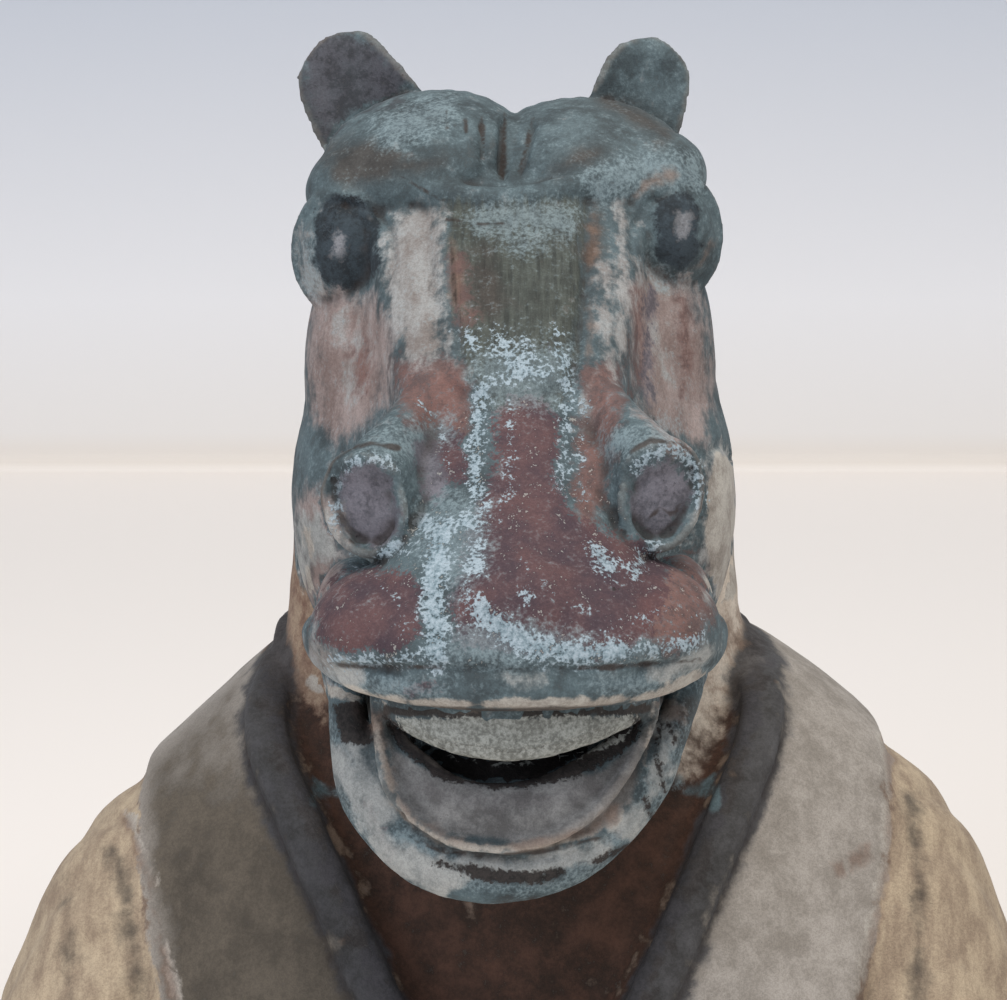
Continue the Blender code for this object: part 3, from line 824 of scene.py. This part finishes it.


# ---------------------------------------------------------------- where the paint lies
# Cold paint in thin coats over the fired clay: slate on the head, cream and brick on the nose and
# cheeks, maroon on the muzzle, with pale blue crusts, dirt and rubbed edges. Some coats paint light
# and shade: shade in the hollows, grooves and mouth, and highlights on the forelock's lobes and the
# sleeve seams. Each coat is an attribute of the skin that says how many mm a point is inside the
# coat's edge.


def averaged(values, ends, count):
    """Each row averaged with its neighbours along the edges."""
    total = values.copy()
    for k in range(values.shape[1]):
        total[:, k] += np.bincount(ends[:, 0], values[ends[:, 1], k], len(values))
        total[:, k] += np.bincount(ends[:, 1], values[ends[:, 0], k], len(values))
    return total / count[:, None]


ends = read(bust_mesh.edges, "vertices", 2, np.int32)
count = 1 + np.bincount(ends.ravel(), minlength=len(points))
normals = read(bust_mesh.vertices, "normal", 3)
broad = normals.astype(float)
for _ in range(6):
    broad = averaged(broad, ends, count)
seen = in_picture(points)
in_front = seen_first(seen, unit(broad))
PIXELS_PER_MM = 6.4
FAR_OUT = -9.0  # mm outside a coat where none of it flakes off either
TURNED_AWAY = 14  # mm taken off a coat of the front where the skin faces away
UNSEEN = 1.4  # mm added there to what is scattered over the head
x, y, z = points.T
deep = y - STAND_BACK  # depth as the masses above state it
height = z + hang(x, z)
# The slate ends in a wavy line on the neck.
wave = 2.6 * np.sin(0.23 * x + 0.11 * deep) + 1.4 * np.sin(0.51 * x - 0.3 * deep)
jaw_front = np.minimum(np.minimum(z - 59, -8 - deep), 32 - abs(x))
on_head = np.maximum(z - 88 - 0.3 * deep - wave, jaw_front)
on_head = np.where(on_head < 0, 3 * on_head, on_head)


def coat(*shapes, scattered=FAR_OUT, on_all=False):
    """mm inside the edge of a coat on the front of the head, or of the whole figure if on_all. A shape
    is an outline, or (half width, line), which leaves only stray flakes where it is below 0.
    scattered is the value on the rest of the head."""
    best = np.full(len(points), FAR_OUT)
    for shape in shapes:
        if isinstance(shape[0], (int, float)):
            inside = shape[0] - to_line(seen, shape[1])[0]
        else:
            far = to_line(seen, shape, True)[0]
            inside = np.where(in_outline(seen, shape), far, -far)
        best = np.maximum(best, inside / PIXELS_PER_MM)
    best = np.where((on_head > -1) | on_all, best - TURNED_AWAY * (1 - in_front), FAR_OUT)
    return np.maximum(best, np.where(on_head > 0, scattered + UNSEEN * (1 - in_front), FAR_OUT))


def near_lines(lines):
    """Distance in mm of each point to the nearest of some lines of the border."""
    best = np.full(len(points), 1e9)
    for rows in lines:
        for p in between(rows, np.linspace(0, 1, 60))[:, :3] + (0, STAND_BACK, 0):
            best = np.minimum(best, np.linalg.norm(points - p, axis=1))
    return best


panel_edge = panel_half_width(height)
on_robe = np.minimum(84 - z, np.maximum(abs(x) - opening_half_width(height), deep - 24)) - 2
in_collar = 30 * (1 - np.hypot(x / COLLAR_HALF_WIDTH, (deep - COLLAR_MIDDLE) / COLLAR_REACH))
pale_side = np.minimum(x - 6, 0.5 * (20 - deep))
brown_fades = np.minimum(0.25 * (72 - z), 0.3 * (16 - deep))
chest = np.minimum(np.minimum(opening_half_width(height) - abs(x) + 1.5, 74 - z), 10 - deep)
trim = near_lines(border_lines)
across_mouth = abs(x) / MOUTH_HALF_WIDTH
gum_depth = np.interp(across_mouth, (0, 0.4, 0.8, 1), (-69.3, -67.8, -62.5, -53))
plate_top = EYE_LINE + np.interp(across_mouth, (0, 0.45, 0.8, 0.97, 1.05), (-70, -68.6, -66, -62.5, -59))
# The inside of the mouth, behind the gum and above the lower plate, which is painted near black as painted
# shade.
in_mouth = np.minimum(np.minimum(deep - gum_depth - 0.7, z - plate_top), -38 - deep)
in_mouth = np.minimum(in_mouth, np.minimum(20.6 - abs(x), EYE_LINE - 50 - z))
coats = {
    "robe_grey": np.minimum(on_robe, panel_edge + 1.0 - abs(x)),
    "robe_brown": np.minimum(np.minimum(on_robe, panel_edge - abs(x)), np.minimum(2 - x, brown_fades)) - 1.5,
    "sleeve_buff": np.minimum(abs(x) - panel_edge - 0.5, 62 - z),
    "chest_dark": chest,
    "neck_buff": np.minimum(np.minimum(deep + 7, z - 70), in_collar),
    "neck_pale": np.minimum(np.minimum(deep + 9, z - 62), np.minimum(pale_side, in_collar)),
    "trim_dark": BORDER_WIDTH / 2 + 1.6 - trim,
    "slate": on_head,
    "lock": coat(
        [
            (444, 200), (478, 206), (525, 200), (585, 200), (584, 280), (577, 344), (572, 400), (520, 415),
            (478, 405), (466, 362), (458, 325), (451, 279),
        ],
    ),
    "blush": coat(
        [
            (311, 300), (330, 292), (372, 300), (392, 330), (388, 395), (366, 424), (338, 440),
            (318, 424), (308, 380),
        ],
        [
            (628, 286), (650, 272), (690, 284), (708, 330), (712, 390), (700, 440), (672, 452),
            (648, 420), (632, 350),
        ],
        [(300, 500), (318, 492), (340, 520), (340, 600), (318, 612), (302, 600)],
        scattered=-3.2,
    ),
    "cream": coat(
        [
            (390, 240), (402, 210), (422, 202), (440, 212), (440, 262), (436, 300), (444, 346), (420, 364),
            (400, 352), (391, 318), (386, 280),
        ],
        (6, [(604, 262), (606, 310), (610, 372)]),
        (5, [(622, 214), (623, 280), (622, 344)]),
        (5, [(338, 318), (345, 352), (350, 390)]),
        (3.5, [(356, 300), (362, 352)]),
        [(304, 520), (322, 512), (334, 540), (326, 566), (306, 560)],
        (4.5, [(657, 328), (661, 352), (664, 384)]),
        [(706, 474), (720, 452), (736, 462), (743, 520), (740, 590), (722, 610), (708, 596), (703, 540)],
        [(308, 640), (322, 634), (334, 656), (346, 680), (330, 690), (312, 682)],
        (3, [(592, 380), (590, 430)]),
        (2.0, [(398, 362), (430, 366), (466, 368)]),
        (4, [(636, 262), (646, 280), (668, 292), (692, 284)]),
        (3.5, [(302, 236), (306, 272), (320, 300)]),
        scattered=-3.4,
    ),
    "pale_edge": coat(
        (4.5, [(309, 682), (342, 694), (384, 700), (450, 704), (520, 705), (594, 704), (657, 695),
               (702, 674)]),
        (2.6, [(374, 716), (384, 760), (392, 790), (410, 820), (440, 841), (488, 848), (536, 845),
               (586, 834)]),
        (2.6, [(586, 834), (626, 807), (640, 782), (648, 744), (654, 712)]),
        # Painted highlight: the pale lines down the two sleeve seams.
        (3.0, [(130, 816), (150, 870), (180, 1000)]),
        (5, [(885, 740), (886, 850), (856, 1000)]),
        [(704, 480), (718, 456), (734, 462), (744, 520), (738, 590), (720, 604), (706, 590)],
        (5, [(306, 530), (312, 560), (308, 590)]),
        on_all=True,
    ),
    "lip_wash": coat(
        [
            (320, 738), (350, 744), (368, 800), (392, 840), (440, 862), (440, 896), (388, 872),
            (350, 812), (328, 770),
        ],
        [(706, 474), (720, 452), (738, 462), (750, 520), (746, 590), (722, 610), (708, 596), (703, 540)],
        [(290, 520), (322, 512), (334, 540), (326, 566), (296, 600)],
        (10, [(440, 868), (480, 862), (540, 868), (600, 852)]),
        (12, [(664, 716), (662, 760), (648, 800), (628, 826)]),
        (10, [(350, 740), (366, 780), (384, 820)]),
        (6, [(320, 668), (352, 676)]),
        (7, [(660, 672), (704, 656)]),
        (5, [(500, 676), (520, 680), (540, 676)]),
        (10, [(440, 812), (520, 824), (590, 812)]),
    ),
    "brick": coat(
        [
            (396, 366), (420, 362), (452, 360), (468, 376), (471, 405), (466, 432), (436, 440),
            (410, 424), (398, 396),
        ],
        [
            (586, 372), (600, 366), (618, 368), (626, 396), (612, 440), (603, 500), (586, 548),
            (574, 520), (580, 440),
        ],
        [(640, 596), (664, 566), (690, 552), (706, 574), (714, 610), (702, 640), (672, 652), (640, 640)],
        (4, [(682, 300), (685, 350), (686, 392)]),
        (4, [(638, 290), (640, 340), (640, 380)]),
        (5, [(362, 346), (362, 386)]),
        (7, [(458, 262), (460, 300), (470, 316)]),
        scattered=-3.2,
    ),
    "maroon": coat(
        [
            (490, 424), (500, 405), (530, 392), (553, 408), (560, 440), (556, 480), (572, 512), (604, 530),
            (640, 540), (672, 560), (668, 600), (650, 640), (600, 655), (520, 655), (456, 646), (450, 600),
            (462, 560), (470, 520), (488, 484), (496, 450),
        ],
        [
            (316, 600), (332, 576), (366, 568), (404, 572), (424, 590), (420, 632), (392, 652),
            (340, 650), (314, 634),
        ],
        (5, [(517, 349), (523, 350)]),
        (4, [(545, 352), (547, 356)]),
        (3, [(366, 802), (376, 830), (390, 856)]),
        (14, [(446, 440), (456, 470)]),
        (4, [(410, 690), (436, 684)]),
    ),
    "umber": coat(
        [(326, 150), (352, 140), (396, 150), (412, 170), (380, 182), (334, 178)],
        (7, [(604, 100), (634, 112), (664, 134)]),
        (7, [(560, 170), (600, 150)]),
        (9, [(400, 168), (440, 160)]),
        (13, [(484, 256), (490, 306)]),
        (9, [(440, 866), (500, 872), (560, 870), (590, 862)]),
        (6, [(328, 160), (366, 158)]),
        (6, [(386, 714), (391, 738)]),
        (6, [(650, 714), (645, 738)]),
        (9, [(424, 230), (426, 300), (430, 340)]),
        (5, [(596, 215), (592, 262)]),
        [(356, 704), (388, 706), (392, 742), (366, 748)],
        [(644, 706), (692, 700), (684, 742), (652, 752)],
        (3, [(112, 850), (128, 900), (138, 1000)]),
        (3, [(66, 880), (70, 1000)]),
        (3, [(908, 800), (920, 900), (916, 1000)]),
        (6, [(310, 104), (324, 142)]),
        scattered=-2.6,
        on_all=True,
    ),
    "crust": coat(
        (3, [(470, 340), (480, 356), (500, 348), (524, 342)]),
        (4, [(496, 380), (520, 372), (552, 376)]),
        (4, [(556, 346), (566, 366), (566, 392)]),
        (5, [(484, 384), (478, 430), (474, 474), (482, 506)]),
        (1.5, [(566, 384), (566, 440), (562, 492)]),
        (6, [(416, 526), (446, 522), (484, 522)]),
        (11, [(438, 535), (434, 590), (436, 655)]),
        (-2, [(462, 540), (466, 600), (470, 640)]),
        (-4, [(350, 560), (400, 600), (400, 640)]),
        (-5, [(520, 560), (560, 600), (620, 620)]),
        (-4, [(580, 640), (660, 610), (700, 620)]),
        (-3, [(420, 400), (440, 430), (450, 480)]),
        (-2, [(510, 400), (512, 480), (500, 520)]),
        (-2, [(584, 400), (580, 500)]),
        (-1, [(456, 330), (480, 330), (560, 334)]),
        (12, [(484, 612), (510, 634), (540, 650)]),
        (10, [(540, 646), (580, 654), (622, 650)]),
        (3.5, [(630, 652), (664, 650), (698, 638)]),
        (3.5, [(336, 660), (372, 664), (412, 656)]),
        (7, [(594, 550), (604, 560), (610, 568)]),
        (4.5, [(652, 546), (640, 562), (634, 572)]),
        (5, [(475, 546), (475, 566)]),
        (2.5, [(526, 594), (529, 598)]),
        (1.6, [(337, 530), (337, 492), (351, 467), (375, 457), (396, 466)]),
        (4, [(382, 552), (402, 546)]),
        (3.0, [(638, 468), (652, 454), (678, 450), (695, 466), (699, 504)]),
        scattered=-3.0,
    ),
    "bloom_and_highlight": coat(
        (16, [(484, 222), (520, 216), (560, 222)]),
        (8, [(510, 244), (540, 240)]),
        # Painted highlight: these two wide pale patches on the forelock's lobes stand for the light on them.
        (16, [(600, 184), (650, 168), (690, 172)]),
        (16, [(390, 130), (440, 112)]),
        [(470, 350), (574, 344), (573, 400), (520, 410), (476, 402)],
        [(404, 508), (440, 498), (490, 500), (486, 560), (456, 600), (420, 560)],
        [(436, 640), (500, 612), (600, 640), (690, 644), (640, 662), (440, 664)],
        [(330, 716), (346, 740), (360, 800), (384, 850), (372, 858), (346, 800), (332, 750)],
        (12, [(400, 836), (450, 868), (520, 876), (590, 866), (640, 826)]),
        (9, [(672, 716), (668, 770), (652, 806)]),
        (7, [(320, 674), (380, 688), (440, 692)]),
        (7, [(600, 684), (660, 684), (706, 674)]),
        (14, [(380, 446), (440, 430)]),
        (12, [(612, 446), (668, 434)]),
        (5, [(306, 250), (312, 290)]),
        (8, [(652, 262), (664, 280)]),
        scattered=-2.2,
    ),
    "ear_dark": coat(
        [
            (299, 66), (306, 44), (330, 30), (352, 32), (388, 52), (412, 76), (398, 98), (352, 112),
            (326, 140), (308, 104),
        ],
    ),
    "mauve": coat(
        (27, [(366, 490), (374, 518)]),
        (27, [(662, 488), (656, 508)]),
        (4, [(650, 292), (648, 400)]),
        (12, [(424, 450), (436, 490)]),
        (7, [(420, 786), (470, 800), (540, 802), (600, 786)]),
    ),
    "plate": coat(
        [
            (386, 738), (414, 764), (514, 786), (608, 766), (644, 736), (636, 800), (596, 832), (514, 844),
            (440, 834), (402, 808),
        ],
    ),
    "gum": coat([(393, 719), (640, 715), (622, 740), (580, 757), (514, 766), (456, 758), (413, 740)]),
    "ochre": coat(
        (1.8, [(594, 205), (590, 300), (588, 364)]),
        (1.6, [(452, 240), (456, 300), (464, 350)]),
        (3, [(636, 196), (650, 182), (673, 174)]),
        (3, [(690, 268), (704, 260), (710, 246)]),
        (1.2, [(378, 716), (392, 790), (412, 818), (450, 838), (520, 846), (590, 831), (634, 792),
               (650, 744)]),
        # Painted highlight: the pinkish lines down the two sleeve seams.
        (2.0, [(126, 820), (146, 870), (176, 1000)]),
        (2.0, [(889, 740), (890, 850), (861, 1000)]),
        (7, [(366, 708), (372, 724)]),
        (8, [(838, 872), (866, 852)]),
        (7, [(664, 706), (676, 716)]),
        on_all=True,
    ),
    # Painted shade: dark lines in the incised hair lines and creases, under the upper lip, under the lower
    # lip's ridge and round the nostril rims.
    "groove_shade": coat(
        (1.9, [(481, 116), (483, 138), (484, 160)]),
        (2.3, [(505, 115), (504, 145), (502, 180)]),
        (1.9, [(533, 118), (527, 145), (517, 177)]),
        (1.1, [(465, 119), (466, 132)]),
        (0.9, [(446, 112), (448, 128)]),
        (1.2, [(396, 173), (437, 198), (479, 206)]),
        (1.2, [(446, 219), (480, 224), (502, 223)]),
        (1.0, [(330, 664), (380, 668), (430, 667), (520, 669), (610, 667), (700, 660)]),
        (1.0, [(452, 240), (454, 290), (462, 330)]),
        (6.0, [(388, 710), (450, 713), (514, 714), (580, 713), (645, 707)]),
        (1.8, [(322, 524), (321, 490), (333, 462), (352, 448), (372, 443), (398, 448)]),
        (1.8, [(630, 452), (650, 440), (680, 443), (696, 458), (703, 490), (702, 520)]),
        (1.4, [(398, 832), (440, 851), (490, 857), (540, 852), (600, 838)]),
        (1.2, [(350, 540), (362, 549), (384, 556)]),
        (0.9, [(648, 520), (660, 508), (672, 514), (684, 500)]),
    ),
    # Painted shade: the mouth's inside, the gap under the gum, the recesses at its corners and the pinholes,
    # all near black; with dark patches on the chin and over the left eye.
    "shade_and_dark_spots": np.maximum(in_mouth, coat(
        [
            (384, 716), (399, 722), (443, 742), (510, 750), (569, 742), (619, 718), (642, 712), (638, 738),
            (611, 759), (552, 782), (497, 788), (439, 778), (397, 746),
        ],
        [(332, 704), (368, 702), (372, 744), (342, 742)],
        (2.2, [(616, 587), (616.5, 587)]),
        (1.6, [(642, 594), (642.5, 594)]),
        (1.4, [(611, 625), (611.5, 625)]),
        (6, [(470, 870), (500, 877), (540, 878), (560, 872)]),
        (3, [(436, 862), (466, 870)]),
        (3, [(596, 862), (628, 846)]),
        (2.2, [(660, 726), (656, 750), (664, 790)]),
        (2.0, [(646, 800), (652, 816)]),
        (2.0, [(668, 724), (676, 740)]),
        (3.0, [(326, 238), (330, 214), (346, 200), (362, 206)]),
        scattered=-3.6,
    )),
    "salted": coat(
        [
            (310, 600), (350, 560), (420, 520), (440, 440), (480, 400), (580, 400), (610, 500), (680, 550),
            (714, 610), (706, 650), (620, 664), (400, 664), (312, 650),
        ],
    ),
    "iris": coat((33, [(346, 227), (346, 257)]), (22, [(676, 214), (677, 246)])),
    "glint": coat((5.5, [(339, 238), (337, 252)]), (6.5, [(684, 218), (682, 234)])),
}


# How hollow the skin is at each point: the paint darkens hollows with dirt and painted shade, and lightens
# rubbed edges.
spans = ((points[ends[:, 0]] - points[ends[:, 1]]) ** 2).sum(axis=1)
reach = np.bincount(ends[:, 0], spans, len(points)) + np.bincount(ends[:, 1], spans, len(points))
sunk = averaged(points.astype(float), ends, count) - points
bend = np.einsum("ij,ij->i", sunk, normals) * 2 * count / reach
bend = bend[:, None]
for _ in range(3):
    bend = averaged(bend, ends, count)
coats["hollow"] = bend[:, 0]
for name, values in coats.items():
    layer = bust_mesh.attributes.new(name, "FLOAT", "POINT")
    layer.data.foreach_set("value", np.clip(values, FAR_OUT, 5).astype(np.float32))


# ---------------------------------------------------------------- the paint itself
# Cold-painted earthenware: low-fired clay under matt mineral pigment in thin glue. It gives the eye a
# dry, chalky skin with no shine. Every coat has two mingled tones and a ragged edge where it flaked.
# Coat, light tone, dark tone, which grain it follows, raggedness and softness of its edge in mm, how
# much of it covers, and how thick it stands in mm.
COATS = [
    ("robe_grey", "#a39d96", "#857f77", "cloud", 1.2, 0.8, 0.95, 0.02),
    ("robe_brown", "#5a5247", "#423c34", "cloud", 1.0, 3.0, 0.95, 0.0),
    ("sleeve_buff", "#b3a28a", "#8c7b69", "streak", 0.8, 0.5, 1.0, 0.02),
    ("chest_dark", "#4f352a", "#281c15", "cloud", 2.0, 1.5, 0.97, 0.0),
    ("neck_buff", "#a08d78", "#6a4a3e", "cloud", 1.6, 1.5, 0.95, 0.02),
    ("neck_pale", "#d0c6b8", "#b0a293", "cloud", 1.2, 2.0, 0.92, 0.0),
    ("trim_dark", "#434448", "#212224", "cloud", 0.8, 1.2, 0.9, 0.0),
    ("slate", "#5a6c72", "#384347", "cloud", 1.1, 1.6, 0.97, 0.02),
    ("lock", "#51554e", "#32342f", "combed", 0.6, 1.2, 0.9, 0.0),
    ("blush", "#a3938e", "#7f6c66", "streak", 1.6, 2.2, 0.85, 0.02),
    ("umber", "#48423d", "#2c2826", "cloud", 0.9, 2.0, 0.85, 0.0),
    ("cream", "#9fa09f", "#7c736e", "streak", 1.6, 1.4, 0.85, 0.05),
    ("brick", "#7b5a53", "#5d4845", "patch", 1.0, 1.5, 0.85, 0.03),
    ("maroon", "#5e4242", "#44353c", "mottled", 0.9, 0.6, 0.93, 0.04),
    # Painted highlight in part: this pale film coat is also laid on the forelock's lobes as light.
    ("bloom_and_highlight", "#8a9ba0", "#66757b", "flake", 1.1, 1.9, 0.54, 0.03),
    ("ear_dark", "#55545a", "#38373b", "patch", 0.8, 1.5, 0.85, 0.0),
    ("lip_wash", "#a6a7a4", "#7d8180", "cloud", 1.1, 1.2, 0.88, 0.0),
    ("pale_edge", "#b4afa6", "#847b72", "cloud", 0.5, 0.35, 0.9, 0.0),
    ("crust", "#a2b1ba", "#6b8089", "flake", 0.95, 0.5, 0.85, 0.14),
    ("mauve", "#76727a", "#535057", "patch", 0.7, 0.8, 0.85, 0.03),
    ("plate", "#8c8b89", "#5b5958", "cloud", 0.4, 0.6, 0.9, 0.03),
    ("ochre", "#786153", "#5a463b", "cloud", 0.6, 0.9, 0.65, 0.0),
    # Painted shade: the next two coats are the dark of grooves and creases, and of the mouth's inside, its
    # corners and the pinholes.
    ("groove_shade", "#3b312c", "#241d19", "cloud", 0.2, 0.25, 0.85, 0.0),
    ("shade_and_dark_spots", "#2a2321", "#15100e", "flake", 0.3, 0.3, 0.95, -0.25),
    ("gum", "#9c9f9a", "#6e706b", "flake", 0.3, 0.3, 0.95, 0.04),
    ("iris", "#353f46", "#20262b", "patch", 0.5, 0.6, 0.95, 0.02),
    ("glint", "#8f9094", "#6c6d70", "patch", 0.5, 0.7, 0.8, 0.02),
]

painted, tree, shader = new_material("painted_earthenware")
spot = add(tree, "ShaderNodeTexCoord").outputs["Object"]
TIMES_PLUS = {"operation": "MULTIPLY_ADD"}
SOFT_STEP = {"interpolation_type": "SMOOTHSTEP"}
TINT = {"data_type": "RGBA"}

# Grains of the paint: size in mm, a shift so that no two are alike, detail, roughness, and how much it is
# scaled along each axis, where less than 1 draws it out, as a brush or a comb does.
GRAINS = {
    "wide": (8, 0.3, 2, 0.6, (1, 1, 1)),
    "middle": (2.6, 0.7, 4, 0.65, (1, 1, 1)),
    "fine": (0.6, 1.1, 2, 0.6, (1, 1, 1)),
    "brushed": (2.2, 1.7, 3, 0.6, (1, 0.35, 0.28)),
    "combed": (0.8, 2.7, 2, 0.6, (1, 0.12, 0.12)),
    "dust": (0.25, 2.3, 0, 0.6, (1, 1, 1)),
}
grain = {}
for name, (size, shift, detail, roughness, along) in GRAINS.items():
    at = add(tree, "ShaderNodeVectorMath", TIMES_PLUS, _0=spot, _1=along, _2=(shift,) * 3).outputs[0]
    scale = 1 / (size * MM)
    made = add(tree, "ShaderNodeTexNoise", Vector=at, Scale=scale, Detail=detail, Roughness=roughness)
    lowered = add(tree, "ShaderNodeMath", {"operation": "SUBTRACT"}, _0=made.outputs["Fac"], _1=0.5)
    grain[name] = lowered.outputs[0]


def laid_over(strengths, total=0.0):
    """The sum of some grains, each by its strength, over what is there already."""
    for name, strength in strengths.items():
        total = add(tree, "ShaderNodeMath", TIMES_PLUS, _0=grain[name], _1=strength, _2=total).outputs[0]
    return total


# How each kind of paint flakes at its edge and mingles its two tones, and how softly the tones meet.
KINDS = {
    "cloud": ({"middle": 5, "wide": 8}, {"wide": 1, "middle": 1, "fine": 0.3}, 0.35),
    "patch": ({"fine": 4, "middle": -8}, {"middle": 1, "wide": -0.7, "fine": -0.8}, 0.2),
    "mottled": ({"fine": 6, "middle": -5}, {"wide": 1, "fine": 0.3, "middle": 0.6}, 0.22),
    "streak": ({"middle": 5, "brushed": 4}, {"brushed": 1, "wide": 0.6, "fine": 0.3}, 0.3),
    "combed": ({"middle": 4, "combed": 7}, {"combed": 1, "middle": 0.7}, 0.3),
    "flake": ({"fine": 7, "middle": 6}, {"middle": 0.7, "fine": 0.9}, 0.2),
}
ragged, toned = {}, {}
for kind, (flaking, mingling, softness) in KINDS.items():
    ragged[kind] = laid_over(flaking)
    mingled = laid_over(mingling)
    toned[kind] = add(
        tree, "ShaderNodeMapRange", SOFT_STEP, Value=mingled, From_Min=-softness, From_Max=softness
    ).outputs[0]

bare_clay = (linear("#6f5e52"), linear("#94826f"))
colour = add(tree, "ShaderNodeMix", TINT, _0=toned["cloud"], _6=bare_clay[0], _7=bare_clay[1]).outputs[2]
relief = laid_over({"dust": 0.05, "fine": 0.12})
FELT = 0.1  # mm of paint that shows as a step
for name, light, dark, kind, rag, edge, cover, thick in COATS:
    inside = add(tree, "ShaderNodeAttribute", {"attribute_name": name}).outputs["Fac"]
    inside = add(tree, "ShaderNodeMath", TIMES_PLUS, _0=ragged[kind], _1=rag, _2=inside).outputs[0]
    share = add(
        tree, "ShaderNodeMapRange", SOFT_STEP, Value=inside, From_Min=-edge, From_Max=edge, To_Max=cover
    ).outputs[0]
    tones = add(tree, "ShaderNodeMix", TINT, _0=toned[kind], _6=linear(dark), _7=linear(light)).outputs[2]
    colour = add(tree, "ShaderNodeMix", TINT, _0=share, _6=colour, _7=tones).outputs[2]
    if abs(thick) > FELT:
        relief = add(tree, "ShaderNodeMath", TIMES_PLUS, _0=share, _1=thick, _2=relief).outputs[0]
    if name == "lock":
        strands = add(tree, "ShaderNodeMath", {"operation": "MULTIPLY"}, _0=share, _1=grain["combed"])
        relief = add(tree, "ShaderNodeMath", TIMES_PLUS, _0=strands.outputs[0], _1=0.6, _2=relief).outputs[0]

# Dirt and painted shade darken the hollows, sharp edges are rubbed, and fine pits and pale flecks lie over
# all.
hollow = add(tree, "ShaderNodeAttribute", {"attribute_name": "hollow"}).outputs["Fac"]
hollow = laid_over({"middle": 0.3}, hollow)
salted = add(tree, "ShaderNodeAttribute", {"attribute_name": "salted"}).outputs["Fac"]
salted = add(
    tree, "ShaderNodeMapRange", SOFT_STEP, Value=salted, From_Min=-2.0, From_Max=1.0, To_Min=0.05, To_Max=0.55
).outputs[0]
PIT_COVER, PIT_DEPTH = 0.3, 0.08
OVER_ALL = [
    ("dirt_and_shade", hollow, 0.06, 0.45, 0.75, "#2b2421"),
    ("rubbed", hollow, -0.22, -0.6, 0.22, "#9c9288"),
    ("pits", laid_over({"fine": 1, "dust": 0.6}), 0.2, 0.3, PIT_COVER, "#2f2a28"),
    ("flecks", laid_over({"fine": 1, "middle": 1.9, "dust": 0.7}), -0.36, -0.46, salted, "#b5b4ae"),
]
for name, pattern, start, end, cover, tint in OVER_ALL:
    share = add(
        tree, "ShaderNodeMapRange", SOFT_STEP, Value=pattern, From_Min=start, From_Max=end, To_Max=cover
    ).outputs[0]
    colour = add(tree, "ShaderNodeMix", TINT, _0=share, _6=colour, _7=linear(tint)).outputs[2]
    if name == "pits":
        sunk = -PIT_DEPTH / PIT_COVER
        relief = add(tree, "ShaderNodeMath", TIMES_PLUS, _0=share, _1=sunk, _2=relief).outputs[0]
powder = laid_over({"fine": 1, "dust": 1})
powder = add(
    tree, "ShaderNodeMapRange", SOFT_STEP, Value=powder, From_Min=-0.25, From_Max=0.25
).outputs[0]
powder = add(
    tree, "ShaderNodeMix", TINT, _0=powder, _6=(0.75, 0.75, 0.75, 1), _7=(1.2, 1.2, 1.2, 1)
).outputs[2]
powdered = {"data_type": "RGBA", "blend_type": "MULTIPLY"}
colour = add(tree, "ShaderNodeMix", powdered, _0=0.4, _6=colour, _7=powder).outputs[2]
tree.links.new(colour, shader.inputs["Base Color"])
shader.inputs["Roughness"].default_value = 0.8
shader.inputs["Specular IOR Level"].default_value = 0.3
bump = add(tree, "ShaderNodeBump", Height=relief, Strength=0.8, Distance=MM)
tree.links.new(bump.outputs[0], shader.inputs["Normal"])
bust_mesh.materials.append(painted)

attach(bust, "root")
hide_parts("zodiac_bust")
